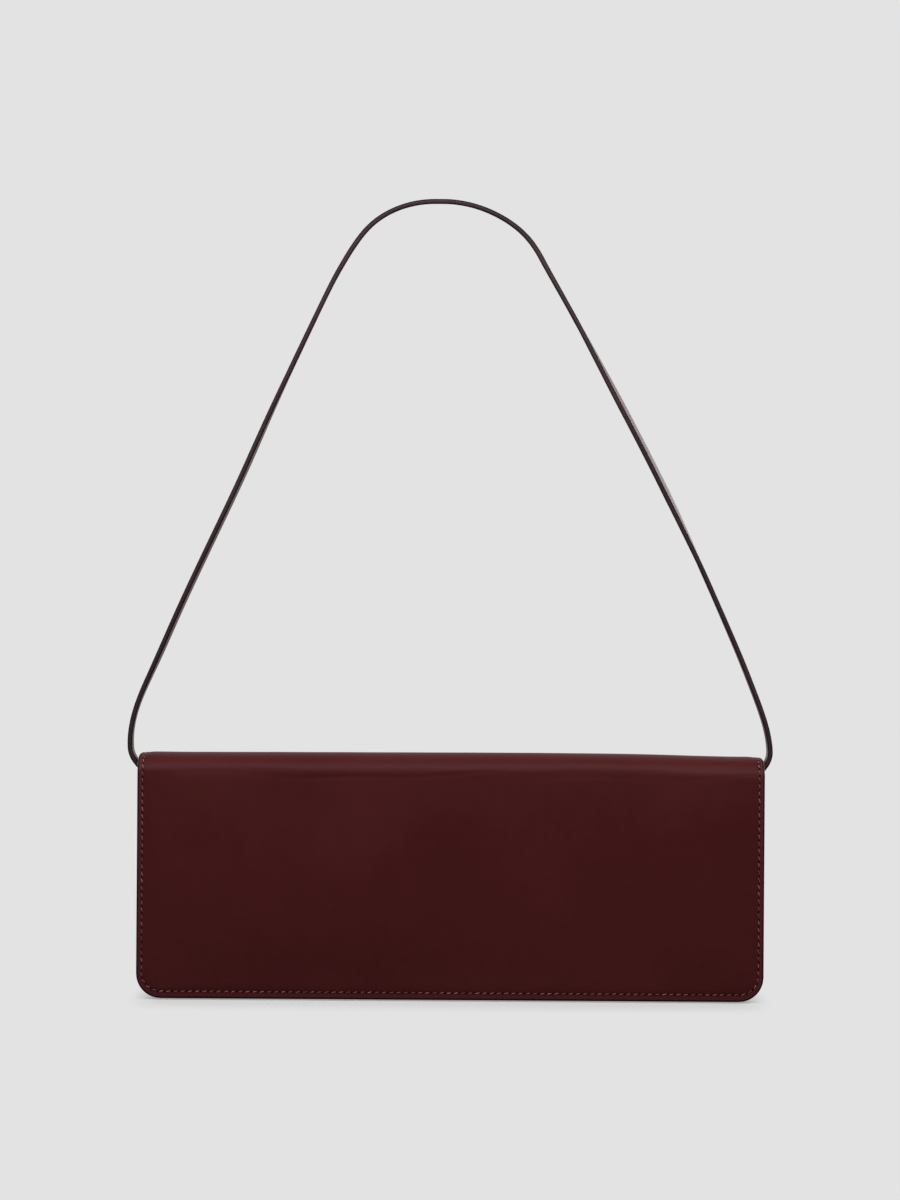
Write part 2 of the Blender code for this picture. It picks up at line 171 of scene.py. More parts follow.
def new_primitive(add, name, group=BAG, **settings):
    """One of Blender's own primitives at the origin, named and put in a collection."""
    bpy.ops.object.select_all(action="DESELECT")
    add(location=(0, 0, 0), **settings)
    piece = bpy.context.active_object
    piece.name = piece.data.name = name
    for other in list(piece.users_collection):
        other.objects.unlink(piece)
    group.objects.link(piece)
    return piece


def new_grid(name, columns, rows):
    """A grid with a line for each column and row; also gives each point's column and row."""
    piece = new_primitive(
        bpy.ops.mesh.primitive_grid_add, name,
        x_subdivisions=len(columns) - 1, y_subdivisions=len(rows) - 1, size=1.0,
    )
    flat = np.empty(len(piece.data.vertices) * 3)
    piece.data.vertices.foreach_get("co", flat)
    places = []
    for track, lines in zip(flat.reshape(-1, 3).T, (columns, rows)):
        places.append(np.array(lines)[np.rint((track + 0.5) * (len(lines) - 1)).astype(int)])
    return piece, *places


def set_places(piece, places):
    """Move a mesh's points to their places."""
    flat = np.ascontiguousarray(places, dtype=np.float32).ravel()
    piece.data.vertices.foreach_set("co", flat)
    piece.data.update()


def note(piece, label, values):
    """Store one number for each point, for the finishes and the cut edges."""
    attribute = piece.data.attributes.new(label, "FLOAT", "POINT")
    numbers = np.full(len(piece.data.vertices), values, dtype=np.float32)
    attribute.data.foreach_set("value", numbers)


def dress(piece, finishes):
    """Give a piece its material slots."""
    for finish in finishes:
        piece.data.materials.append(finish)


def apply_modifiers(piece):
    """Apply the piece's modifiers in order."""
    select_only(piece)
    for modifier in list(piece.modifiers):
        bpy.ops.object.modifier_apply(modifier=modifier.name)


def smooth(piece, angle=40.0):
    """Shade smooth, with edges sharper than the angle kept."""
    select_only(piece)
    bpy.ops.object.shade_smooth_by_angle(angle=math.radians(angle))


def weld(piece, close_ends=False):
    """Join points that meet, close open ends if asked, and turn the faces outwards."""
    select_only(piece)
    bpy.ops.object.mode_set(mode="EDIT")
    bpy.ops.mesh.select_all(action="SELECT")
    bpy.ops.mesh.remove_doubles(threshold=WELD)
    if close_ends:
        bpy.ops.mesh.select_all(action="DESELECT")
        bpy.ops.mesh.select_non_manifold(extend=False)
        bpy.ops.mesh.edge_face_add()
        bpy.ops.mesh.select_all(action="SELECT")
    bpy.ops.mesh.normals_make_consistent(inside=False)
    bpy.ops.object.mode_set(mode="OBJECT")


def ease(value, low, high):
    """0 below low, 1 above high, smooth between."""
    share = np.clip((value - low) / (high - low), 0.0, 1.0)
    return share * share * (3.0 - 2.0 * share)


def hump(value, middle, reach):
    """1 at the middle, fading to 0 on both sides."""
    return np.exp(-(((value - middle) / reach) ** 2))


def ripple(value, waves):
    """A sum of waves."""
    return sum(amount * np.sin(value * rate + phase) for amount, rate, phase in waves)


def clamp(value):
    """A number held between 0 and 1."""
    return min(1.0, max(0.0, value))


def half_wave(value, start, length):
    """Half a sine wave over a stretch, and 0 outside it."""
    return math.sin(math.pi * clamp((value - start) / length))


# Sections: the line that a sheet follows, seen from the side
class Section:
    """A line in the YZ plane with its outward normal, read by the length along it."""

    def __init__(self, points, normals):
        self.tracks = (*np.array(points).T, *np.array(normals).T)
        steps = np.hypot(np.diff(self.tracks[0]), np.diff(self.tracks[1]))
        self.along = np.concatenate([[0.0], np.cumsum(steps)])
        self.length = self.along[-1]

    def read(self, along):
        """Place and outward normal at a length."""
        y, z, ny, nz = (np.interp(along, self.along, track) for track in self.tracks)
        size = np.hypot(ny, nz)
        return y, z, ny / size, nz / size


def wrap_section():
    """From the flap's lower edge up, over the roll and down the back."""
    points = [(FLAP_Y, FLAP_BOTTOM), (FLAP_Y, CREASE_Z - HAIR)]
    normals = [(-1.0, 0.0), (-1.0, 0.0)]
    for step in range(ROLL_POINTS + 1):
        angle = math.pi * (1.0 - step / ROLL_POINTS)
        flat, up = math.cos(angle), math.sin(angle)
        side = math.copysign(abs(flat) ** (2.0 / ROLL_POWER), flat)
        rise = up ** (2.0 / ROLL_POWER)
        points.append((BACK_Y * side, CREASE_Z + ROLL_RISE * rise))
        lean = math.copysign(abs(side) ** (ROLL_POWER - 1.0), side) / BACK_Y
        normal = Vector((lean, rise ** (ROLL_POWER - 1.0) / ROLL_RISE)).normalized()
        normals.append(tuple(normal))
    points += [(BACK_Y, CREASE_Z - HAIR), (BACK_Y, 0.0)]
    normals += [(1.0, 0.0), (1.0, 0.0)]
    return Section(points, normals)


WRAP = wrap_section()
CREASE_ALONG = CREASE_Z - FLAP_BOTTOM
BACK_CREASE_ALONG = WRAP.length - CREASE_Z
# The flap's sheet and the back's meet at this share of the way over the roll
MEETING_SHARE = 0.755
MEETING_ALONG = float(np.interp(MEETING_SHARE, (0.0, 1.0), (CREASE_ALONG, BACK_CREASE_ALONG)))


def wrap_half_width(along):
    """Half the leather's width: the flap's, a little less over the roll, and the body's behind."""
    y = WRAP.read(along)[0]
    on_roll = ROLL_NARROWER * ease(y, -0.0095, 0.001)
    at_back = (HALF_WIDTH - BODY_HALF - ROLL_NARROWER) * ease(y, 0.002, 0.0155)
    return HALF_WIDTH - on_roll - at_back


def wrap_end(along):
    """The distance from the wrap's nearer end, and that end's corner radius."""
    end = np.minimum(along, WRAP.length - along)
    return end, np.where(along < WRAP.length / 2, CORNER_RADIUS, BODY_RADIUS)


def from_corner(x, end, half, radius):
    """Distance from an edge with two round corners, end being the one from its lower end."""
    side = half - np.abs(x)
    dx = radius - side
    dz = radius - end
    in_corner = (dx > 0) & (dz > 0)
    return np.where(in_corner, radius - np.hypot(dx, dz), np.minimum(side, end))


def from_seam_side(x, end, half, radius):
    """The same, made shorter along the lower end, where the seam runs farther in."""
    dx = np.maximum(np.abs(x) - (half - radius), 0.0)
    dz = np.maximum(radius - end, 0.0)
    lowness = dz * dz / np.maximum(dx * dx + dz * dz, 1e-12)
    seam = SEAM_MARGIN + LOW_SEAM_EXTRA * lowness
    return from_corner(x, end, half, radius) * SEAM_MARGIN / seam


def round_corners(across, end, half, radius):
    """Bend a square grid's lower corners round. Gives x and the distance from the lower end."""
    side = half - np.abs(across)
    corner = (side < radius) & (end < radius)
    px = np.where(corner, radius - side, 1.0)
    pz = np.where(corner, radius - end, 1.0)
    reach = np.maximum(px, pz)
    low_turn = np.pi / 4 * np.divide(pz, np.maximum(px, 1e-9))
    high_turn = np.pi / 2 - np.pi / 4 * np.divide(px, np.maximum(pz, 1e-9))
    turn = np.where(px >= pz, low_turn, high_turn)
    x = np.sign(across) * (half - radius + reach * np.cos(turn))
    return np.where(corner, x, across), np.where(corner, radius - reach * np.sin(turn), end)


def hand_wave(x, along, size):
    """The slight unevenness of stretched leather."""
    slow = np.sin(x * 31.0 + 1.3) * np.cos(along * 43.0 + 0.4)
    slow = slow + 0.6 * np.sin(x * 57.0 - along * 71.0 + 2.0)
    fine = 0.35 * np.sin(x * 133.0 + along * 97.0) * np.sin(along * 151.0 - x * 61.0 + 0.9)
    return size * (slow + fine)


def wrap_lift(x, along):
    """How far the wrap's outer face stands above its section."""
    half = wrap_half_width(along)
    end, radius = wrap_end(along)
    edge = from_corner(x, end, half, radius)
    fall = -0.00042 * (1.0 - ease(edge, 0.0012, 0.0068))
    seam = from_seam_side(x, end, half, radius)
    groove = -0.00009 * hump(seam, SEAM_MARGIN, GROOVE_REACH)
    wave = hand_wave(x, along, 0.00006) * ease(edge, 0.004, 0.02)
    line = CREASE_ALONG - 0.0004 + ripple(x, CREASE_WANDER)
    marked = 0.3 + 0.7 * ease(ripple(x, CREASE_MARKS), 0.0, 1.2)
    crease = -0.00024 * marked * hump(along, line, 0.0011) * ease(edge, 0.001, 0.006)
    rounding = np.sin(np.pi * np.clip(along / CREASE_ALONG, 0.0, 1.0))
    dome = 0.0008 * rounding * ease(edge, 0.0, 0.03)
    on_roll = ease(along - CREASE_ALONG, 0.0, 0.006) * ease(BACK_CREASE_ALONG - along, 0.0, 0.006)
    swell = ripple(x, ROLL_SWELL) * on_roll * ease(edge, 0.003, 0.02)
    swell = swell + ripple(x, BEND_SWELL) * hump(along, CREASE_ALONG + 0.0016, 0.0026)
    droop = np.where(x > 0, 0.001, 0.0004) * ease(np.abs(x), 0.085, HALF_WIDTH)
    back_line = BACK_CREASE_ALONG + ripple(x, BACK_WANDER)
    back_crease = -0.00015 * hump(along, back_line, 0.0015)
    return fall + groove + wave + crease + dome + swell - droop * on_roll + back_crease


def wrap_depth(x, along):
    """Depth of the lining's inner face below the section: more where a board lies between."""
    edge = from_corner(x, wrap_end(along)[0], wrap_half_width(along), CORNER_RADIUS)
    on_flap = ease(CREASE_ALONG - along, 0.0035, 0.0095) * ease(edge, 0.0034, 0.0062)
    on_back = ease(along - BACK_CREASE_ALONG, -0.001, 0.0035)
    return THIN_STACK + (BOARD_STACK - THIN_STACK) * np.maximum(on_flap, on_back)


def outer_below(x, along):
    """The outer leather's face, given as a depth."""
    return -wrap_lift(x, along)


def lining_below(x, along):
    """The face of the lining that is glued to the leather."""
    return wrap_depth(x, along) - LINING


def on_wrap(x, along, below):
    """A place on the wrap, below its section by a depth."""
    y, z, ny, nz = WRAP.read(along)
    return np.column_stack([x, y - ny * below, z - nz * below])


def weigh_cut_edges(piece):
    """Choose the sharp edges that get rounded: all but those where a sheet runs on."""
    soup = bmesh.new()
    soup.from_mesh(piece.data)
    joined = soup.verts.layers.float.get("joined_end")
    weight = soup.edges.layers.float.new("bevel_weight_edge")
    for edge in soup.edges:
        sharp = len(edge.link_faces) == 2 and edge.calc_face_angle() > SHARP
        runs_on = joined is not None and all(point[joined] > 0.5 for point in edge.verts)
        edge[weight] = 1.0 if sharp and not runs_on else 0.0
    soup.to_mesh(piece.data)
    soup.free()


def thicken(piece, thickness, finishes):
    """Make a sheet of a face: its finishes, its thickness inwards, and soft cut edges."""
    dress(piece, finishes)
    wall = piece.modifiers.new("thickness", "SOLIDIFY")
    wall.thickness = thickness
    wall.offset = -1.0
    wall.use_even_offset = False
    wall.material_offset_rim = EDGE_SLOT
    apply_modifiers(piece)
    weigh_cut_edges(piece)
    soft = piece.modifiers.new("cut_edge", "BEVEL")
    soft.width = min(EDGE_SOFT, thickness * 0.42)
    soft.segments = 3
    soft.limit_method = "WEIGHT"
    soft.use_clamp_overlap = False
    soft.material = EDGE_SLOT
    apply_modifiers(piece)
    smooth(piece)
    return piece


def wrap_sheet(name, rows, hem, radius, depth, thickness, finishes, narrow=wrap_half_width):
    """One sheet of the wrap. hem is where its lower end is: 0 at the flap, the length behind."""
    piece, across, along = new_grid(name, across_lines(HALF_WIDTH, radius), rows)
    x, end = round_corners(across, np.abs(along - hem), HALF_WIDTH, radius)
    along = np.abs(hem - end) if hem else end
    width = narrow(along)
    x = x * width / HALF_WIDTH
    set_places(piece, on_wrap(x, along, depth(x, along)))
    near_end, radii = wrap_end(along)
    note(piece, "edge_distance", from_seam_side(x, near_end, width, radii))
    note(piece, "joined_end", np.abs(along - MEETING_ALONG) < HAIR / 10)
    return thicken(piece, thickness, finishes)


# Node trees
def add_node(tree, kind, **settings):
    """A new node with its settings."""
    node = tree.nodes.new(kind)
    for key, value in settings.items():
        setattr(node, key, value)
    return node


def feed(tree, value, socket):
    """Link an output to a socket, or set the socket to a number or a colour."""
    if hasattr(value, "is_linked"):
        tree.links.new(value, socket)
    elif socket.type == "RGBA":
        socket.default_value = (*value, 1.0)
    else:
        socket.default_value = value


def math_node(tree, operation, first, second=0.0, clamp=False):
    """A Math node, fed with outputs or numbers."""
    node = add_node(tree, "ShaderNodeMath", operation=operation, use_clamp=clamp)
    for socket, value in zip(node.inputs, (first, second)):
        feed(tree, value, socket)
    return node.outputs[0]


def times(tree, first, second):
    """A product."""
    return math_node(tree, "MULTIPLY", first, second)


def weighted(tree, *parts):
    """A sum of values, each times its weight."""
    total, *others = [times(tree, value, weight) for value, weight in parts]
    for other in others:
        total = math_node(tree, "ADD", total, other)
    return total


def noise(tree, vector, scale, detail=2.0, roughness=0.5):
    """A noise texture's value."""
    node = add_node(tree, "ShaderNodeTexNoise")
    given = {"Vector": vector, "Scale": scale, "Detail": detail, "Roughness": roughness}
    for label, value in given.items():
        feed(tree, value, node.inputs[label])
    return node.outputs["Fac"]


def cell_texture(tree, vector, scale, feature):
    """A cell texture's outputs and inputs."""
    node = add_node(tree, "ShaderNodeTexVoronoi", feature=feature)
    feed(tree, vector, node.inputs["Vector"])
    feed(tree, scale, node.inputs["Scale"])
    return node.outputs, node.inputs


def spread(tree, value, low, high, to_low=0.0, to_high=1.0):
    """A Map Range node."""
    node = add_node(tree, "ShaderNodeMapRange", interpolation_type="SMOOTHSTEP")
    labels = ("Value", "From Min", "From Max", "To Min", "To Max")
    for label, number in zip(labels, (value, low, high, to_low, to_high)):
        feed(tree, number, node.inputs[label])
    return node.outputs["Result"]


def shade_group(name, numbers, outputs):
    """A new shader group that takes a vector and numbers, and gives numbers."""
    tree = bpy.data.node_groups.new(name, "ShaderNodeTree")
    tree.interface.new_socket("Vector", in_out="INPUT", socket_type="NodeSocketVector")
    for label, value in numbers.items():
        socket = tree.interface.new_socket(label, in_out="INPUT", socket_type="NodeSocketFloat")
        socket.default_value = value
    for label in outputs:
        tree.interface.new_socket(label, in_out="OUTPUT", socket_type="NodeSocketFloat")
    given, out = tree.nodes.new("NodeGroupInput"), tree.nodes.new("NodeGroupOutput")
    return tree, given.outputs, out.inputs


def make_grain_group():
    """Fine calf grain: soft pebbles, hair pores and a slow drift of tone."""
    tree, given, out = shade_group(
        "calf_grain", {"Pebble": 0.5, "Pores": 0.5}, ("Height", "Tone", "Pore Mask")
    )
    vector = given["Vector"]
    cells, cell_settings = cell_texture(tree, vector, 1100.0, "SMOOTH_F1")
    cell_settings["Smoothness"].default_value = 0.8
    dots, _ = cell_texture(tree, vector, 230.0, "F1")
    fine = noise(tree, vector, 2600.0)
    slow = noise(tree, vector, 260.0, 3.0, 0.55)
    drift = noise(tree, vector, 17.0, 3.0, 0.6)
    chosen = spread(tree, dots["Color"], 0.78, 0.86)
    dot = spread(tree, dots["Distance"], 0.05, 0.16, 1.0, 0.0)
    pores = times(tree, times(tree, chosen, dot), given["Pores"])
    height = weighted(tree, (cells["Distance"], given["Pebble"]), (fine, 0.3), (slow, 0.5))
    feed(tree, math_node(tree, "SUBTRACT", height, pores), out["Height"])
    feed(tree, weighted(tree, (drift, 0.7), (slow, 0.3)), out["Tone"])
    feed(tree, pores, out["Pore Mask"])
    return tree


def make_edge_group():
    """Masks that follow the cut edge: band outside the seam (for a painted reflection), groove (for
    painted shade), rubbed rim and paint.
    """
    tree, given, out = shade_group(
        "edge_wear_and_painted_light", {"Edge Distance": 1.0, "Seam": SEAM_MARGIN},
        ("Painted Reflection Band", "Painted Shade Groove", "Rubbed", "Paint"),
    )
    distance = given["Edge Distance"]
    # Band outside the seam, used to paint a lighter, greyer reflection on the sloping margin
    past = math_node(tree, "SUBTRACT", given["Seam"], distance)
    feed(tree, spread(tree, past, -0.0004, 0.0008), out["Painted Reflection Band"])
    # Seam groove mask, used to paint shade into the groove
    off = math_node(tree, "ABSOLUTE", past)
    feed(tree, spread(tree, off, 0.0002, 0.0009, 1.0, 0.0), out["Painted Shade Groove"])
    near = spread(tree, distance, 0.0004, 0.0022, 1.0, 0.0)
    patchy = spread(tree, noise(tree, given["Vector"], 140.0, 3.0, 0.6), 0.45, 0.72)
    feed(tree, times(tree, near, patchy), out["Rubbed"])
    ragged = spread(tree, noise(tree, given["Vector"], 700.0), 0.3, 0.7, -0.0001, 0.0001)
    reach = math_node(tree, "ADD", distance, ragged)
    feed(tree, spread(tree, reach, 0.00065, 0.0009, 1.0, 0.0), out["Paint"])
    return tree


def make_nap_group():
    """Short brushed fibres, for the suede lining and the boards."""
    tree, given, out = shade_group("suede_nap", {"Length": 1.0}, ("Height", "Tone"))
    vector = given["Vector"]
    fibres = noise(tree, vector, 3200.0, 3.0, 0.7)
    clumps = noise(tree, vector, 420.0, 3.0, 0.6)
    brushed = noise(tree, vector, 45.0)
    height = times(tree, math_node(tree, "ADD", fibres, clumps), given["Length"])
    feed(tree, height, out["Height"])
    feed(tree, weighted(tree, (clumps, 0.45), (brushed, 0.55)), out["Tone"])
    return tree


GRAIN = make_grain_group()
EDGE_WEAR_AND_PAINTED_LIGHT = make_edge_group()
NAP = make_nap_group()


class Finish:
    """A material under construction: its tree, its shader and the object's coordinates."""

    def __init__(self, name, roughness, specular=0.5, metallic=0.0):
        self.material = bpy.data.materials.new(name)
        self.material.use_nodes = True
        self.tree = self.material.node_tree
        self.inputs = self.tree.nodes["Principled BSDF"].inputs
        self.inputs["Roughness"].default_value = roughness
        self.inputs["Specular IOR Level"].default_value = specular
        self.inputs["Metallic"].default_value = metallic
        self.place = add_node(self.tree, "ShaderNodeTexCoord").outputs["Object"]

    def group(self, tree, **values):
        """The outputs of a group that reads the object's coordinates."""
        node = add_node(self.tree, "ShaderNodeGroup", node_tree=tree)
        feed(self.tree, self.place, node.inputs["Vector"])
        for label, value in values.items():
            feed(self.tree, value, node.inputs[label.replace("_", " ")])
        return node.outputs

    def noise(self, *settings):
        """Noise in the object's coordinates."""
        return noise(self.tree, self.place, *settings)

    def mix(self, share, first, second):
        """Two colours, given or from nodes, mixed by a share."""
        node = add_node(self.tree, "ShaderNodeMix", data_type="RGBA")
        sockets = [socket for socket in node.inputs if socket.type == "RGBA"]
        for value, socket in zip((first, second, share), (*sockets, node.inputs["Factor"])):
            feed(self.tree, value, socket)
        return [socket for socket in node.outputs if socket.type == "RGBA"][0]

    def colour(self, share, first, second):
        """Set the base colour, mixed by a share."""
        feed(self.tree, self.mix(share, first, second), self.inputs["Base Color"])

    def tone(self, value, low, high, first, second):
        """Lead the base colour from one colour to another as a value goes from low to high."""
        self.colour(spread(self.tree, value, low, high), first, second)

    def roughness(self, value, low, high):
        """Let a mask vary the roughness."""
        feed(self.tree, spread(self.tree, value, 0.0, 1.0, low, high), self.inputs["Roughness"])

    def bump(self, height, distance, strength):
        """Set the normal from a height."""
        node = add_node(self.tree, "ShaderNodeBump")
        for label, value in (("Height", height), ("Distance", distance), ("Strength", strength)):
            feed(self.tree, value, node.inputs[label])
        feed(self.tree, node.outputs["Normal"], self.inputs["Normal"])


def tint(colour, *factors):
    """A colour times one factor, or times one for each channel."""
    return tuple(value * factors[k % len(factors)] for k, value in enumerate(colour))


def calf(name, deep, light, seam, roughness=0.5, specular=0.05):
    """Smooth dyed calf with pores, rubbed rim and painted edge, with a painted reflection on the
    band outside the seam and painted shade in the seam groove.
    """
    finish = Finish(name, roughness, specular)
    tree = finish.tree
    grain = finish.group(GRAIN, Pebble=0.45, Pores=0.5)
    distance = add_node(tree, "ShaderNodeAttribute", attribute_name="edge_distance").outputs["Fac"]
    wear_and_light = finish.group(EDGE_WEAR_AND_PAINTED_LIGHT, Edge_Distance=distance, Seam=seam)
    base = finish.mix(spread(tree, grain["Tone"], 0.3, 0.7), deep, light)
    dark = tint(deep, 0.5)
    for mask, share, colour in (
        # Painted reflection: a lighter, greyer band outside the seam
        (wear_and_light["Painted Reflection Band"], 0.7, tint(light, 1.22, 1.5, 1.75)),
        # Painted shade: the seam groove darkened
        (wear_and_light["Painted Shade Groove"], 0.35, dark),
        (grain["Pore Mask"], 0.5, dark),
        (wear_and_light["Rubbed"], 0.25, tint(light, 1.5, 1.9, 2.0)),
    ):
        base = finish.mix(times(tree, mask, share), base, colour)
    finish.colour(times(tree, wear_and_light["Paint"], 0.9), base, EDGE_DARK)
    finish.roughness(grain["Tone"], roughness - 0.06, roughness + 0.08)
    finish.bump(grain["Height"], 0.00004, 0.55)
    return finish.material


def edge_paint_and_shade_finish(name, colour, roughness=0.38):
    """The dark acrylic paint on cut leather edges; also used for the strap's near-black turned
    calf, which is painted shade.
    """
    finish = Finish(name, roughness, 0.06)
    grain = finish.group(GRAIN, Pebble=0.2, Pores=0.0)
    finish.tone(grain["Tone"], 0.35, 0.65, colour, tint(colour, 1.6))
    finish.bump(grain["Height"], 0.00005, 0.4)
    return finish.material


def suede(name, deep, light):
    """The lining's brushed side."""
    finish = Finish(name, 0.9, 0.15)
    nap = finish.group(NAP, Length=1.0)
    finish.tone(nap["Tone"], 0.35, 0.68, deep, light)
    finish.bump(nap["Height"], 0.00012, 0.6)
    finish.inputs["Sheen Weight"].default_value = 0.12
    finish.inputs["Sheen Tint"].default_value = (0.75, 0.42, 0.40, 1.0)
    finish.inputs["Sheen Roughness"].default_value = 0.5
    return finish.material


def thread(name, deep, light):
    """Waxed polyester thread."""
    finish = Finish(name, 0.6, 0.12)
    strands = finish.noise(1900.0)
    uneven = spread(finish.tree, finish.noise(190.0, 1.0), 0.36, 0.66)
    finish.colour(weighted(finish.tree, (uneven, 0.75), (strands, 0.3)), deep, light)
    finish.bump(strands, 0.00008, 0.6)
    return finish.material


def painted_hole_shade(name, colour):
    """Painted shade: the near-black of a needle hole, given to a flat disc."""
    finish = Finish(name, 0.9, 0.05)
    finish.colour(finish.noise(900.0), colour, tint(colour, 1.5))
    return finish.material


def metal(name, colour, worn, roughness):
    """Polished metal with faint handling marks."""
    finish = Finish(name, roughness, 0.5, 1.0)
    marks = finish.noise(380.0, 4.0, 0.65)
    finish.tone(marks, 0.4, 0.75, colour, worn)
    finish.roughness(marks, roughness - 0.05, roughness + 0.18)
    finish.bump(finish.noise(2400.0), 0.00001, 0.4)
    return finish.material


def fibre_board(name, colour, flecks):
    """Pressed fibre board."""
    finish = Finish(name, 0.92, 0.2)
    nap = finish.group(NAP, Length=0.6)
    finish.tone(nap["Tone"], 0.4, 0.62, colour, flecks)
    finish.bump(nap["Height"], 0.0001, 0.5)
    return finish.material


# Finishes, in linear colours
EDGE_DARK = (0.0075, 0.0008, 0.0011)
BURGUNDY = calf("burgundy_calf", (0.035, 0.005, 0.0053), (0.0427, 0.0069, 0.0072), SEAM_MARGIN)
GUSSET_CALF = calf("gusset_calf", (0.034, 0.0048, 0.0051), (0.041, 0.0066, 0.007), 0.0)
STRAP_CALF = calf("strap_calf", (0.04, 0.01, 0.0115), (0.05, 0.015, 0.0165), 0.0, 0.58, 0.2)
EDGE_PAINT = edge_paint_and_shade_finish("edge_paint", EDGE_DARK)
# Edge paint on the strap, lighter and greyer than the body's: partly its paint, partly a painted
# highlight on the middle of the rounded edge
STRAP_PAINT_AND_HIGHLIGHT = edge_paint_and_shade_finish("strap_edge_paint_and_highlight", (0.017, 0.009, 0.01), 0.42)
# Painted shade: the calf where it turns round the strap's edges, near-black and far darker than the
# strap's face
STRAP_TURN_SHADE = edge_paint_and_shade_finish("strap_turned_calf_shade", (0.0022, 0.0006, 0.0007), 0.5)
LINING_SUEDE = suede("lining_suede", (0.058, 0.017, 0.017), (0.086, 0.029, 0.028))
THREAD = thread("seam_thread", (0.055, 0.016, 0.017), (0.235, 0.078, 0.082))
# Painted shade: near-black for the needle holes
HOLE_SHADE = painted_hole_shade("needle_hole_shade", (0.003, 0.0002, 0.0003))
BRASS = metal("gold_brass", (0.62, 0.47, 0.22), (0.48, 0.34, 0.14), 0.2)
STEEL = metal("magnet_plating", (0.55, 0.55, 0.56), (0.4, 0.4, 0.42), 0.32)
BOARD = fibre_board("fibre_board", (0.22, 0.18, 0.14), (0.31, 0.26, 0.21))
LEATHER_FINISH = (BURGUNDY, EDGE_PAINT)
LINING_FINISH = (LINING_SUEDE, EDGE_PAINT)


# The wrap: flap, roll and back
def flap_lining_half(along):
    """The flap lining's half-width, a little inside the leather's."""
    return wrap_half_width(along) - CLEAR


def back_lining_half(along):
    """The back lining's: inside the gusset below, and like the flap lining's on the roll."""
    inner = WEB_HALF - LEATHER - BACK_CLEAR
    y, z = WRAP.read(along)[:2]
    widen = np.where(y > 0, ease(z, FRONT_TOP + 0.0002, FRONT_TOP + 0.0024), 1.0)
    return inner + (flap_lining_half(along) - inner) * widen


def flap_rows():
    """Rows from the flap's lower edge to where the back's sheet takes over on the roll."""
    rows = one_side(CREASE_ALONG - BEFORE_CREASE, CORNER_RADIUS, ROW_STEP)
    rows += even_lines(rows[-1], CREASE_ALONG + PAST_CREASE, FLAP_BEND_STEP)
    return rows + even_lines(rows[-1], MEETING_ALONG - HAIR, ROLL_STEP) + [MEETING_ALONG]


def back_rows():
    """Rows from there to the back's lower edge."""
    below = one_side(CREASE_Z - BEFORE_CREASE, BODY_RADIUS, ROW_STEP)
    rows = [WRAP.length - place for place in below]
    rows += even_lines(rows[-1], BACK_CREASE_ALONG - PAST_CREASE, BACK_BEND_STEP)
    rows += even_lines(rows[-1], MEETING_ALONG + HAIR, ROLL_STEP) + [MEETING_ALONG]
    return rows[::-1]


def bend_with_flap(piece):
    """Bake the piece's transform into its mesh."""
    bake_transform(piece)


def bend_at_back(piece):
    """Bake the piece's transform into its mesh."""
    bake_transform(piece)


def make_wrap():
    """Leather outside and lining inside, each in two sheets that meet on the roll."""
    flap = wrap_sheet(
        "flap_and_roll_leather", flap_rows(), 0.0, CORNER_RADIUS, outer_below, LEATHER,
        LEATHER_FINISH,
    )
    bend_with_flap(flap)
    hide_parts("flap_leather", "top_fold_leather")

    inside = wrap_sheet(
        "flap_and_roll_lining", flap_rows(), 0.0, CORNER_RADIUS, lining_below, LINING,
        LINING_FINISH, flap_lining_half,
    )
    bend_with_flap(inside)
    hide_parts("flap_lining", "top_fold_lining")

    back = wrap_sheet(
        "back_leather_panel", back_rows(), WRAP.length, BODY_RADIUS, outer_below, LEATHER,
        LEATHER_FINISH,
    )
    bend_at_back(back)
    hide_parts("back_leather")

    end = WRAP.length - WEB_BOTTOM - LEATHER - BACK_CLEAR
    lining = wrap_sheet(
        "back_lining_panel", [along for along in back_rows() if along < end], end,
        WEB_RADIUS - LEATHER, lining_below, LINING, LINING_FINISH, back_lining_half,
    )
    bend_at_back(lining)
    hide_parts("back_lining")


# Upright panels
def upright_panel(name, half, bottom, top, radius, face, thickness, finishes):
    """A panel that faces -Y. face gives its depth from x, z and the distances from its edges."""
    height = top - bottom
    lower = one_side(height / 2, radius, GRID_STEP)
    upper = one_side(height / 2, TOP_RIM, GRID_STEP)
    rows = lower + [height - place for place in reversed(upper[:-1])]
    piece, across, up = new_grid(name, across_lines(half, radius), rows)
    x, end = round_corners(across, up, half, radius)
    edge = from_corner(x, end, half, radius)
    z = bottom + end
    below_top = height - end
    set_places(piece, np.column_stack([x, face(x, z, edge, below_top), z]))
    note(piece, "edge_distance", np.minimum(edge, below_top))
    return thicken(piece, thickness, finishes)


def front_face(x, z, edge, below_top):
    """The front panel's leather: flat, with a drawn-in seam and a soft top edge."""
    rim = np.minimum(edge, below_top)
    fall = 0.00028 * (1.0 - ease(rim, 0.001, 0.006))
    groove = 0.00008 * hump(rim, SEAM_MARGIN, GROOVE_REACH)
    return FRONT_Y + fall + groove - hand_wave(x, z, 0.00004) * ease(rim, 0.004, 0.02)


def front_lining_face(x, z, edge, below_top):
    """The glued side of the front lining: over the board, and thin along the top edge."""
    full = ease(below_top, 0.0032, 0.006)
    return FRONT_Y + THIN_STACK + (BOARD_STACK - THIN_STACK) * full - LINING


def pocket_face(x, z, edge, below_top):
    """The slip pocket: flat where it is stitched, and standing off towards its mouth."""
    loose = 0.0003 * ease(edge, 0.004, 0.03) * (1.0 - ease(below_top, 0.0, 0.03))
    off = 0.0005 * ease(edge, 0.003, 0.012) + loose
    hem = 0.00012 * (1.0 - ease(below_top, 0.0068, 0.0078))
    return BACK_Y - BOARD_STACK - 0.00095 - off - hem


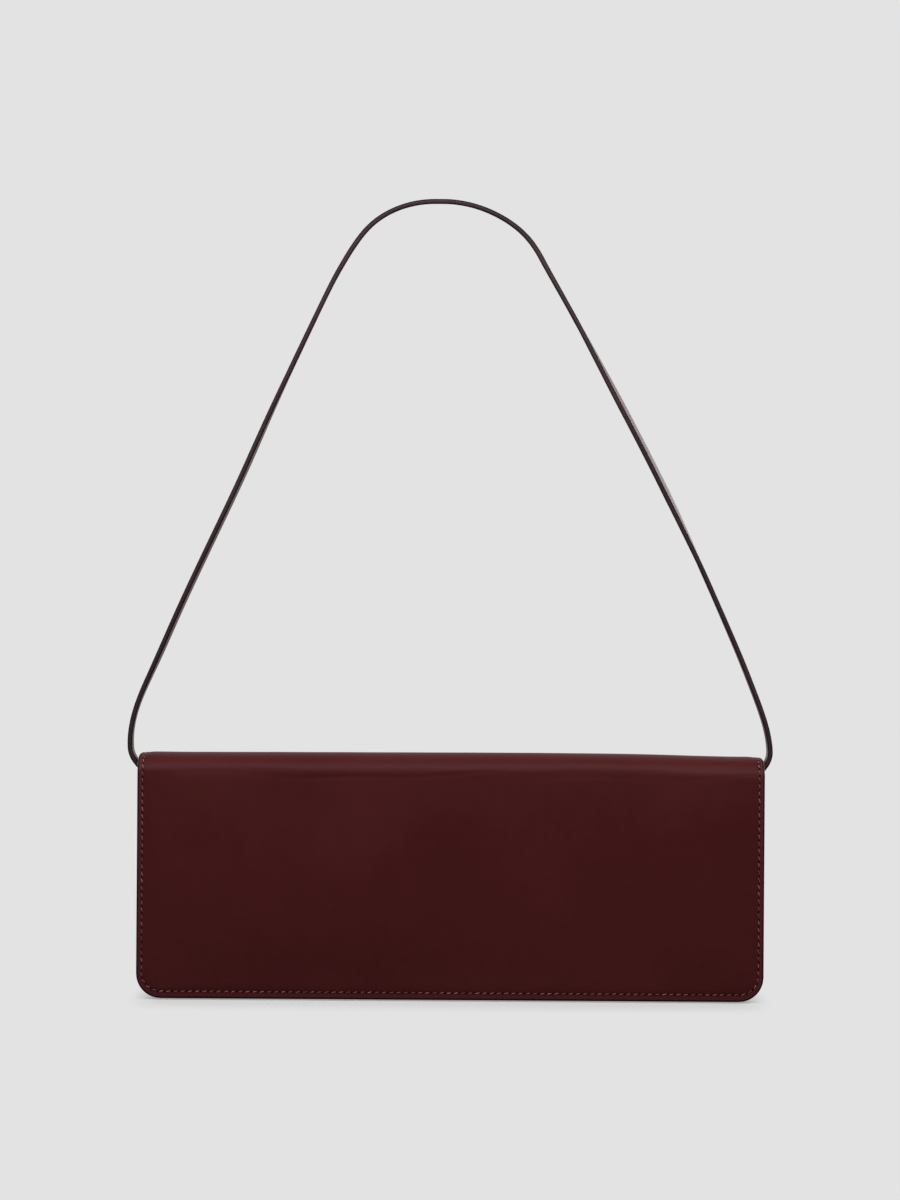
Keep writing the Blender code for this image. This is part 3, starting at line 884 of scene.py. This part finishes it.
def make_panels():
    """The front panel under the flap, and the slip pocket on the back lining."""
    leather = upright_panel(
        "front_leather_panel", BODY_HALF, 0.0, FRONT_TOP, BODY_RADIUS, front_face, LEATHER,
        LEATHER_FINISH,
    )
    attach(leather, "bag_body")
    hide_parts("front_leather")
    lining = upright_panel(
        "front_lining_panel", WEB_HALF - LEATHER - FRONT_CLEAR, WEB_BOTTOM + LEATHER + FRONT_CLEAR,
        FRONT_TOP - CLEAR, WEB_RADIUS - LEATHER, front_lining_face, LINING, LINING_FINISH,
    )
    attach(lining, "bag_body")
    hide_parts("front_lining")
    pocket = upright_panel(
        "slip_pocket_patch", POCKET_HIGH.x, POCKET_LOW.z, POCKET_HIGH.z, POCKET_RADIUS,
        pocket_face, LINING, LINING_FINISH,
    )
    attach(pocket, "bag_body")
    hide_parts("slip_pocket")


# The gusset
def u_rows(half, bottom, top, radius):
    """Rows down the left side, along the bottom and up the right: place and outward way in XZ."""
    drop = top - bottom - radius
    count = max(2, round(drop / GUSSET_STEP))
    rows = [(-half, top - drop * k / count, -1.0, 0.0) for k in range(count)]
    for k in range(10):
        turn = math.pi + math.pi / 2 * k / 9
        dx, dz = math.cos(turn), math.sin(turn)
        rows.append((-half + radius + radius * dx, bottom + radius + radius * dz, dx, dz))
    right = [(-x, z, -dx, dz) for x, z, dx, dz in reversed(rows)]
    flat = 2 * (half - radius)
    count = max(2, round(flat / GUSSET_STEP))
    rows += [(-half + radius + flat * k / count, bottom, 0.0, -1.0) for k in range(1, count)]
    return rows + right


def channel_sheet(name, section, half, bottom, top, radius, thickness, finishes, shape=None):
    """A strip along the bag's sides and bottom with one section, given as (outward, y)."""
    rows = np.array(u_rows(half, bottom, top, radius))
    piece, across, row = new_grid(name, range(len(section)), range(len(rows)))
    outward, y = np.array(section)[across].T
    x, z, dx, dz = rows[row].T
    if shape:
        outward, z = shape(outward, y, z)
    set_places(piece, np.column_stack([x + dx * outward, y, z + dz * outward]))
    note(piece, "edge_distance", FAR_FROM_EDGES)
    return thicken(piece, thickness, finishes)


def gusset_shape(outward, y, z):
    """The gusset bows a little low down, and ends in a round tab under each rivet."""
    off = np.minimum(np.abs(y - RIVET_Y), TAB_RADIUS)
    tab = np.maximum(FRONT_TOP, RIVET_Z + np.sqrt(TAB_RADIUS**2 - off**2))
    z = z + (tab - FRONT_TOP) * ease(z, 0.09, FRONT_TOP)
    middle = np.cos(np.pi * np.clip((y - RIVET_Y) / 0.0205, -0.5, 0.5))
    bow = 0.0006 * middle * (1.0 - ease(z, 0.07, 0.095)) * ease(z, 0.006, 0.03)
    return outward + bow * (outward < LEAST_STEP), z


def make_gusset():
    """The gusset strip with turned-out flanges, and its lining."""
    front = FRONT_Y + LEATHER + LEATHER
    back = BACK_Y - LEATHER - LEATHER
    section = [(outward, front) for outward in (FLANGE, 0.003, 0.002, FLANGE_BEND)]
    for k in range(1, 5):
        turn = math.pi / 8 * k
        across, along = FLANGE_BEND * math.sin(turn), FLANGE_BEND * math.cos(turn)
        section.append((FLANGE_BEND - across, front + FLANGE_BEND - along))
    span = back - front - 2 * FLANGE_BEND
    section += [(0.0, front + FLANGE_BEND + span * k / 12) for k in range(1, 12)]
    section += [(outward, back + front - y) for outward, y in reversed(section[:8])]
    gusset = channel_sheet(
        "gusset_strip", section, WEB_HALF, WEB_BOTTOM, FRONT_TOP, WEB_RADIUS, LEATHER,
        (GUSSET_CALF, EDGE_PAINT), gusset_shape,
    )
    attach(gusset, "bag_body")
    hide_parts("gusset")
    low = FRONT_Y + BOARD_STACK + CLEAR
    high = BACK_Y - BOARD_STACK - CLEAR
    lining = channel_sheet(
        "gusset_lining_strip", [(0.0, high + (low - high) * k / 10) for k in range(11)],
        WEB_HALF - 0.002, WEB_BOTTOM + 0.0035, FRONT_TOP - 0.0012, WEB_RADIUS - 0.002,
        GUSSET_LINING, LINING_FINISH,
    )
    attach(lining, "bag_body")
    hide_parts("gusset_lining")


# The strap's line, as the fixed model has it
STRAP_HALF_WIDTH = 0.0055
STRAP_HALF_THICK = 0.00126
STRAP_LEAST_HALF = 0.0003
STRAP_FOOT_X = 0.1527
APEX_Z = 0.4023
APEX_FLAT = 0.004
APEX_RADIUS = 0.0543
APEX_ANGLE = math.radians(62.0)
KNEE_X = 0.1521
KNEE_Z = 0.1596
KNEE_ANGLE = math.radians(22.8)
BULGE_X = 0.1615
BULGE_Z = 0.1255
STRAP_LEAN = -0.0074
# Where each leg hangs off that even line: middle height, reach and amount
LEFT_HANG = (
    (0.148, 0.022, -0.0013), (0.19, 0.03, -0.0007), (0.262, 0.03, 0.00075), (0.38, 0.012, 0.0015),
)
RIGHT_HANG = (
    (0.147, 0.02, -0.00085), (0.185, 0.03, -0.00035), (0.31, 0.035, -0.00028),
    (0.388, 0.012, 0.0011),
)
HANG_SHIFT = -0.0003
HANG_SHIFT_RISE = 0.02
SWAY = 0.0003
# Turns in degrees: all along, what the arch adds, and where a leg shows more of one face
LEG_TWIST = 3.2
ARCH_TWIST = 4.1
LEFT_TURN = -5.5
RIGHT_TURN = 11.0
RIGHT_FOOT_TURN = -2.0
# Its section: points round an edge, in degrees, which of their faces get edge paint with a painted
# highlight (the other edge faces get near-black painted shade), points on a face
EDGE_TURNS = (90, 68, 47, 30, 11, -11, -30, -47, -68, -90)
PAINTED_COLUMNS = (3, 4, 5)
FACE_POINTS = 3
SIDE_COLUMNS = len(EDGE_TURNS) + FACE_POINTS


def bezier(start, start_handle, end_handle, end, steps):
    """Points on a cubic curve, after its start and up to its end."""
    points = []
    for step in range(1, steps + 1):
        t = step / steps
        s = 1.0 - t
        middle = 3 * s * s * t * start_handle + 3 * s * t * t * end_handle
        points.append(s**3 * start + middle + t**3 * end)
    return points


def on_arch(turn):
    """A point on the arch's right half, by its angle from the top."""
    x = APEX_FLAT / 2 + APEX_RADIUS * math.sin(turn)
    return Vector((x, APEX_Z - APEX_RADIUS * (1.0 - math.cos(turn))))


def strap_half_line():
    """The right half of the strap's middle line in XZ, from its rounded end up to the top."""
    line = []
    for degrees in (6, 15, 25, 36, 48, 60, 75, 90):
        turn = math.radians(degrees)
        place = Vector((STRAP_FOOT_X, RIVET_Z - STRAP_HALF_WIDTH * math.cos(turn)))
        line.append((place, STRAP_HALF_WIDTH * math.sin(turn)))
    foot = Vector((STRAP_FOOT_X, RIVET_Z + 0.004))
    bulge = Vector((BULGE_X, BULGE_Z))
    knee = Vector((KNEE_X, KNEE_Z))
    shoulder = on_arch(APEX_ANGLE)
    up = Vector((0.0, 1.0))
    knee_way = Vector((-math.sin(KNEE_ANGLE), math.cos(KNEE_ANGLE)))
    shoulder_way = Vector((-math.cos(APEX_ANGLE), math.sin(APEX_ANGLE)))
    lower = (bulge - foot).length
    upper = (knee - bulge).length / 3
    leg = (shoulder - knee).length / 3
    points = [foot]
    points += bezier(foot, foot + up * lower / 8, bulge - up * lower / 2, bulge, 24)
    points += bezier(bulge, bulge + up * upper, knee - knee_way * upper, knee, 16)
    points += bezier(knee, knee + knee_way * leg, shoulder - shoulder_way * leg, shoulder, 60)
    points += [on_arch(APEX_ANGLE * (1.0 - step / 48)) for step in range(1, 49)]
    return line + [(point, STRAP_HALF_WIDTH) for point in points]


def strap_stations():
    """x, z and half-width all along the strap, from its left end to its right one."""
    half = strap_half_line()
    line = [(-point.x, point.y, width) for point, width in half]
    line += [(point.x, point.y, width) for point, width in reversed(half)]
    stations = []
    for x, z, width in line:
        share = max(0.0, (z - KNEE_Z) / (APEX_Z - KNEE_Z))
        humps = LEFT_HANG if x < 0 else RIGHT_HANG
        hang = sum(amount * hump(z, middle, reach) for middle, reach, amount in humps)
        hang += HANG_SHIFT * clamp((z - FRONT_TOP) / HANG_SHIFT_RISE)
        stations.append((x + STRAP_LEAN * share * share + hang, z, width))
    return stations


def strap_section(half_width):
    """The strap's rounded section as (across, outward) points, round each edge and each face."""
    round_end = min(STRAP_HALF_THICK, half_width)
    straight = half_width - round_end
    points = []
    for side in (1.0, -1.0):
        for degrees in EDGE_TURNS:
            turn = math.radians(degrees)
            lift = math.copysign(abs(math.sin(turn)) ** 0.85, math.sin(turn))
            across = straight + round_end * 0.9 * math.cos(turn)
            points.append((side * across, side * STRAP_HALF_THICK * lift))
        for k in range(1, FACE_POINTS + 1):
            share = 1.0 - 2 * k / (FACE_POINTS + 1)
            points.append((side * straight * share, -side * STRAP_HALF_THICK))
    return points


def strap_twist(on_right, rise):
    """How far the strap is turned, in degrees, by its height as a share of the top's."""
    twist = LEG_TWIST + ARCH_TWIST * ease(rise, 0.7, 1.0)
    if on_right:
        twist += RIGHT_TURN * min(1.0, 1.2 * half_wave(rise, 0.37, 0.42))
        return twist + RIGHT_FOOT_TURN * half_wave(rise, 0.02, 0.3)
    return twist + LEFT_TURN * min(1.0, 1.6 * half_wave(rise, 0.1, 0.6))


def make_strap():
    """One long strap: two glued plies with painted, rounded edges and a slight twist; the calf
    where it turns round the edges is near-black painted shade.
    """
    stations = strap_stations()
    rings = []
    for index, (x, z, width) in enumerate(stations):
        before = stations[max(0, index - 1)]
        after = stations[min(len(stations) - 1, index + 1)]
        way = Vector((after[0] - before[0], 0.0, after[1] - before[1])).normalized()
        rise = (z - RIVET_Z) / (APEX_Z - RIVET_Z)
        free = clamp((rise - 0.03) / 0.12)
        on_right = x >= 0
        turn = math.radians(strap_twist(on_right, rise) * free)
        wide = Matrix.Rotation(turn, 3, way) @ Vector((0.0, 1.0, 0.0))
        out = way.cross(wide)
        sway = SWAY * math.sin(rise * 19.0 + (1.4 if on_right else 0.0)) * free
        middle = Vector((x, RIVET_Y + sway, z))
        section = strap_section(max(width, STRAP_LEAST_HALF))
        ring = [tuple(middle + wide * offset - out * lift) for offset, lift in section]
        rings.append(ring + ring[:1])
    piece, across, row = new_grid("strap_band", range(len(rings[0])), range(len(rings)))
    set_places(piece, np.array(rings)[row, across])
    dress(piece, (STRAP_CALF, STRAP_PAINT_AND_HIGHLIGHT, STRAP_TURN_SHADE))
    note(piece, "edge_distance", FAR_FROM_EDGES)
    for face in piece.data.polygons:
        column = min(int(across[v]) for v in face.vertices) % SIDE_COLUMNS
        on_edge = column < len(EDGE_TURNS) - 1
        # Edge faces: the middle ones get the paint with its painted highlight, the rest the
        # near-black painted shade
        face.material_index = 0 if not on_edge else 1 if column in PAINTED_COLUMNS else 2
    weld(piece, close_ends=True)
    smooth(piece, 50.0)
    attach(piece, "strap")
    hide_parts("strap_outer", "strap_inner")


# The rivets' profile as (radius, distance from the bag's middle), from the domed head inwards
RIVET_DOME = [
    (0.0035 * math.sin(math.radians(turn)), 0.1547 + 0.0007 * math.cos(math.radians(turn)))
    for turn in range(0, 91, 9)
]
RIVET_PROFILE = RIVET_DOME + [
    (0.00345, 0.1545), (0.0033, 0.1544), (0.0015, 0.1544), (0.0015, 0.1484), (0.0022, 0.1484),
    (0.0023, 0.1483), (0.0023, 0.1481), (0.002, 0.1479), (0.0012, 0.1478), (0.0, 0.1478),
]
RIVET_SIDES = 64


def make_rivets():
    """Two polished rivets: a head outside the strap, a shank and a small closed button inside."""
    for word, side in (("left", -1.0), ("right", 1.0)):
        piece, column, row = new_grid(
            "rivet_" + word, range(len(RIVET_PROFILE)), range(RIVET_SIDES + 1)
        )
        radius, out = np.array(RIVET_PROFILE)[column].T
        turn = 2.0 * np.pi * row / RIVET_SIDES
        y, z = RIVET_Y + radius * np.cos(turn), RIVET_Z + radius * np.sin(turn)
        set_places(piece, np.column_stack([side * out, y, z]))
        weld(piece)
        dress(piece, (BRASS,))
        smooth(piece, 35.0)
        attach(piece, "bag_body")
        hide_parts("strap_rivet_" + word)


# Stitching
def model_stitch():
    """One slanted stitch with a flat near-black disc at its end, painted shade for the needle hole,
    lying along X and facing Z.
    """
    stitch = new_primitive(
        bpy.ops.mesh.primitive_uv_sphere_add, "one_stitch", segments=8, ring_count=7, radius=1.0
    )
    bpy.ops.object.mode_set(mode="EDIT")
    bpy.ops.mesh.select_all(action="SELECT")
    bpy.ops.transform.rotate(value=math.pi / 2, orient_axis="Y", center_override=(0, 0, 0))
    bpy.ops.transform.resize(value=STITCH_HALF, center_override=(0, 0, 0))
    bpy.ops.object.mode_set(mode="OBJECT")
    raised = Matrix.Translation((0, 0, STITCH_RAISED))
    stitch.data.transform(raised @ Matrix.Rotation(STITCH_SLANT, 4, "Z"))
    hole_shade = new_primitive(
        bpy.ops.mesh.primitive_cylinder_add, "one_hole_shade", vertices=8, radius=1.0, depth=2.0
    )
    sunk = Matrix.Translation((STITCH_PITCH / 2, 0, -HOLE_SUNK))
    slanted = sunk @ Matrix.Rotation(HOLE_SLANT, 4, "Z")
    hole_shade.data.transform(slanted @ Matrix.Diagonal((*HOLE_HALF, 1.0)))
    for piece in (stitch, hole_shade):
        dress(piece, (THREAD, HOLE_SHADE))
    for face in hole_shade.data.polygons:
        face.material_index = 1
    select_only(stitch)
    hole_shade.select_set(True)
    bpy.ops.object.join()
    smooth(stitch, 60.0)
    return stitch


def sew(name, stitch, places, normals):
    """Copies of one stitch along a line of places, each turned to the line and the surface."""
    steps = np.linalg.norm(np.diff(places, axis=0), axis=1)
    along = np.concatenate([[0.0], np.cumsum(steps)])
    count = max(2, round(along[-1] / STITCH_PITCH))
    reach = STITCH_PITCH / 3
    copies = []
    for k in range(count):
        at = along[-1] * (k + 0.5) / count
        middle, before, after, normal = (
            np.array([np.interp(at + shift, along, track[:, axis]) for axis in range(3)])
            for shift, track in ((0.0, places), (-reach, places), (reach, places), (0.0, normals))
        )
        up = Vector(normal).normalized()
        way = Vector(after - before)
        way = (way - up * way.dot(up)).normalized()
        turn = Matrix((way, up.cross(way), up)).transposed().to_4x4()
        copy = stitch.copy()
        copy.data = stitch.data.copy()
        copy.data.transform(Matrix.Translation(Vector(middle)) @ turn)
        BAG.objects.link(copy)
        copies.append(copy)
    select_only(copies[0])
    for copy in copies:
        copy.select_set(True)
    bpy.ops.object.join()
    copies[0].name = copies[0].data.name = name
    return copies[0]


def sew_upright(name, stitch, x, y, z):
    """Stitches along a line on a panel that faces -Y."""
    return sew(name, stitch, np.column_stack([x, y, z]), np.tile((0.0, -1.0, 0.0), (len(x), 1)))


def u_seam(half, radius, far, margin, narrow=None, low=0.0):
    """A seam line round a sheet's lower end: x and distance from that end, each side up to far."""
    right = [(half - margin, place) for place in np.linspace(far, radius, 90)]
    for k in range(1, 16):
        turn = math.pi / 2 * k / 16
        inner = radius - margin - low * math.sin(turn) ** 2
        right.append((half - radius + inner * math.cos(turn), radius - inner * math.sin(turn)))
    right += [(x, margin + low) for x in np.linspace(half - radius, 0.0, 40)]
    left = [(-x, end) for x, end in right]
    x, end = np.array(left[:-1] + right[::-1]).T
    if narrow:
        x = np.where(end > radius, np.sign(x) * (narrow(end) - margin), x)
    return x, end


def sew_wrap(name, stitch, x, along, inside=False):
    """Stitches along a line on the wrap's outer face, or on its lining."""
    ny, nz = WRAP.read(along)[2:]
    below, way = (wrap_depth(x, along), -1.0) if inside else (outer_below(x, along), 1.0)
    normals = np.column_stack([0 * ny, way * ny, way * nz])
    return sew(name, stitch, on_wrap(x, along, below), normals)


def make_stitching():
    """Rows of stitches on the flap, roll, back, front and pocket."""
    stitch = model_stitch()
    near = MEETING_ALONG - LEAST_STEP
    x, end = u_seam(
        HALF_WIDTH, CORNER_RADIUS, near, SEAM_MARGIN, wrap_half_width, LOW_SEAM_EXTRA
    )
    for name, inside in (("flap_face_stitches", False), ("flap_inside_stitches", True)):
        piece = sew_wrap(name, stitch, x, end, inside)
        bend_with_flap(piece)

    far = WRAP.length - MEETING_ALONG - LEAST_STEP
    x, end = u_seam(
        BODY_HALF, BODY_RADIUS, far, SEAM_MARGIN,
        lambda end: wrap_half_width(WRAP.length - end), LOW_SEAM_EXTRA,
    )
    back = sew_wrap("back_face_stitches", stitch, x, WRAP.length - end)
    bend_at_back(back)

    x, z = u_seam(BODY_HALF, BODY_RADIUS, FRONT_TOP - SEAM_MARGIN, SEAM_MARGIN)
    top = np.linspace(BODY_HALF - SEAM_MARGIN, SEAM_MARGIN - BODY_HALF, 80)[1:]
    x, z = np.append(x, top), np.append(z, 0 * top + FRONT_TOP - SEAM_MARGIN)
    y = front_face(x, z, from_corner(x, z, BODY_HALF, BODY_RADIUS), FRONT_TOP - z)
    front = sew_upright("front_face_stitches", stitch, x, y, z)
    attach(front, "bag_body")

    height = POCKET_HIGH.z - POCKET_LOW.z
    x, end = u_seam(POCKET_HIGH.x, POCKET_RADIUS, height - 0.0008, POCKET_SEAM)
    edge = from_corner(x, end, POCKET_HIGH.x, POCKET_RADIUS)
    z = POCKET_LOW.z + end
    pocket = sew_upright("pocket_stitches", stitch, x, pocket_face(x, z, edge, height - end), z)
    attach(pocket, "bag_body")
    bpy.data.objects.remove(stitch)


def finish_fixed_pieces():
    """Finishes for the pieces that keep the fixed model's shape."""
    finishes = {
        BRASS: ("rivet_burr_left", "rivet_burr_right"),
        STEEL: ("flap_magnet_left", "flap_magnet_right", "front_magnet_left", "front_magnet_right"),
        BOARD: ("back_board", "front_board", "flap_board", "base_board"),
    }
    for finish, names in finishes.items():
        for name in names:
            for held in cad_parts[name].material_slots:
                held.material = finish


# Camera: 3000 pixels of focal length for a frame 1200 high, turned as the photograph is
SENSOR = 36.0
FOCAL_LENGTH = 90.0
CAMERA_DISTANCE = 1.5
CAMERA_HEIGHT = 0.2007
CAMERA_SIDE = -0.0012
CAMERA_ROLL = math.radians(0.4)

# Stage: the ground's tone as seen, and as a matt surface where it is seen or only reflects
FLOOR_SIZE = (8.0, 6.0, 1.0)
FLOOR_PLACE = (0.0, 1.0, -0.0002)
PALE = 0.768
PALE_COLOUR = (PALE, PALE, PALE, 1.0)
FLOOR_MATT = 0.42
FLOOR_BOUNCE = 0.1
WORLD_COLOUR = (0.5, 0.5, 0.5, 1.0)
WORLD_STRENGTH = 0.05
# Real shadow shows on the floor round the bag's foot, and fades sooner at its sides
SHADOW_HALF = HALF_WIDTH - 0.012
SHADOW_SIDE_FALL = 2.5
SHADOW_FADE = (0.004, 0.045)
SHADOW_SHARE = 0.55
SOFT_BOXES = (
    # name, place, what it faces, width and height, power
    ("top_box", (0.0, -0.36, 0.55), (0.0, 0.0, 0.1), (1.2, 0.3), 9.3),
    ("left_box", (-1.5, -0.9, 0.7), (0.0, 0.0, 0.15), (0.9, 1.2), 0.9),
    ("right_box", (1.5, -0.9, 0.7), (0.0, 0.0, 0.15), (0.9, 1.2), 2.2),
    ("rear_left_box", (-1.0, 1.1, 0.5), (0.0, 0.0, 0.1), (0.8, 0.8), 11.0),
    ("rear_right_box", (1.0, 1.1, 0.5), (0.0, 0.0, 0.1), (0.8, 0.8), 11.0),
)


def make_camera():
    """The photograph's viewpoint: straight in front of the flap, at about half the whole height."""
    data = bpy.data.cameras.new("camera")
    data.sensor_width = data.sensor_height = SENSOR
    data.lens = FOCAL_LENGTH
    camera = bpy.data.objects.new("camera", data)
    camera.location = (CAMERA_SIDE, FLAP_Y - CAMERA_DISTANCE, CAMERA_HEIGHT)
    upright = Matrix.Rotation(math.pi / 2, 3, "X")
    camera.rotation_euler = (upright @ Matrix.Rotation(CAMERA_ROLL, 3, "Z")).to_euler()
    bpy.context.scene.collection.objects.link(camera)
    bpy.context.scene.camera = camera


def make_light():
    """One soft box close above and in front, weak ones at the sides and two behind."""
    for name, place, aim, size, power in SOFT_BOXES:
        data = bpy.data.lights.new(name, "AREA")
        data.shape = "RECTANGLE"
        data.size, data.size_y = size
        data.energy = power
        lamp = bpy.data.objects.new(name, data)
        lamp.location = place
        lamp.rotation_euler = (Vector(aim) - Vector(place)).to_track_quat("-Z", "Y").to_euler()
        bpy.context.scene.collection.objects.link(lamp)


def seen_directly(tree):
    """1 for rays from the camera, by gloss or through glass, and 0 for the light's bounces."""
    path = add_node(tree, "ShaderNodeLightPath").outputs
    seen = math_node(tree, "MAXIMUM", path["Is Camera Ray"], path["Is Glossy Ray"])
    return math_node(tree, "MAXIMUM", seen, path["Is Transmission Ray"])


def mix_surfaces(tree, share, first, second, output):
    """Lead a mix of two shaders to an output node."""
    mix = add_node(tree, "ShaderNodeMixShader")
    for value, socket in zip((share, first.outputs[0], second.outputs[0]), mix.inputs):
        feed(tree, value, socket)
    feed(tree, mix.outputs[0], output.inputs["Surface"])


def pale_ground(name):
    """A pale matt surface, seen at its own colour and with real shadow near the bag."""
    material = bpy.data.materials.new(name)
    material.use_nodes = True
    tree = material.node_tree
    tree.nodes.clear()
    matt = add_node(tree, "ShaderNodeBsdfDiffuse")
    glow = add_node(tree, "ShaderNodeEmission")
    glow.inputs["Color"].default_value = PALE_COLOUR
    seen = seen_directly(tree)
    tone = add_node(tree, "ShaderNodeCombineColor")
    for socket in tone.inputs:
        feed(tree, spread(tree, seen, 0.0, 1.0, FLOOR_BOUNCE, FLOOR_MATT), socket)
    feed(tree, tone.outputs[0], matt.inputs["Color"])
    place = add_node(tree, "ShaderNodeSeparateXYZ")
    feed(tree, add_node(tree, "ShaderNodeTexCoord").outputs["Object"], place.inputs[0])
    across, deep = (math_node(tree, "ABSOLUTE", place.outputs[axis]) for axis in (0, 1))
    beside = math_node(tree, "SUBTRACT", across, SHADOW_HALF, clamp=True)
    before = math_node(tree, "SUBTRACT", deep, BACK_Y, clamp=True)
    sides = (times(tree, beside, SHADOW_SIDE_FALL), before)
    squares = [times(tree, off, off) for off in sides]
    off = math_node(tree, "SQRT", math_node(tree, "ADD", *squares))
    near = spread(tree, off, *SHADOW_FADE, SHADOW_SHARE, 0.0)
    share = times(tree, seen, math_node(tree, "SUBTRACT", 1.0, near))
    mix_surfaces(tree, share, matt, glow, add_node(tree, "ShaderNodeOutputMaterial"))
    return material


def make_stage():
    """A pale floor under a backdrop of the same tone."""
    floor = new_primitive(bpy.ops.mesh.primitive_plane_add, "floor", STAGE, size=1.0)
    floor.scale = FLOOR_SIZE
    floor.location = FLOOR_PLACE
    select_only(floor)
    bpy.ops.object.transform_apply(location=True, rotation=True, scale=True)
    dress(floor, (pale_ground("pale_floor"),))
    world = bpy.data.worlds.new("studio")
    bpy.context.scene.world = world
    world.use_nodes = True
    tree = world.node_tree
    dim = tree.nodes["Background"]
    dim.inputs["Color"].default_value = WORLD_COLOUR
    dim.inputs["Strength"].default_value = WORLD_STRENGTH
    pale = add_node(tree, "ShaderNodeBackground")
    pale.inputs["Color"].default_value = PALE_COLOUR
    mix_surfaces(tree, seen_directly(tree), dim, pale, tree.nodes["World Output"])


bpy.context.scene.view_settings.view_transform = "Standard"
make_camera()
make_stage()
make_light()
make_wrap()
make_panels()
make_gusset()
make_strap()
make_rivets()
make_stitching()
finish_fixed_pieces()
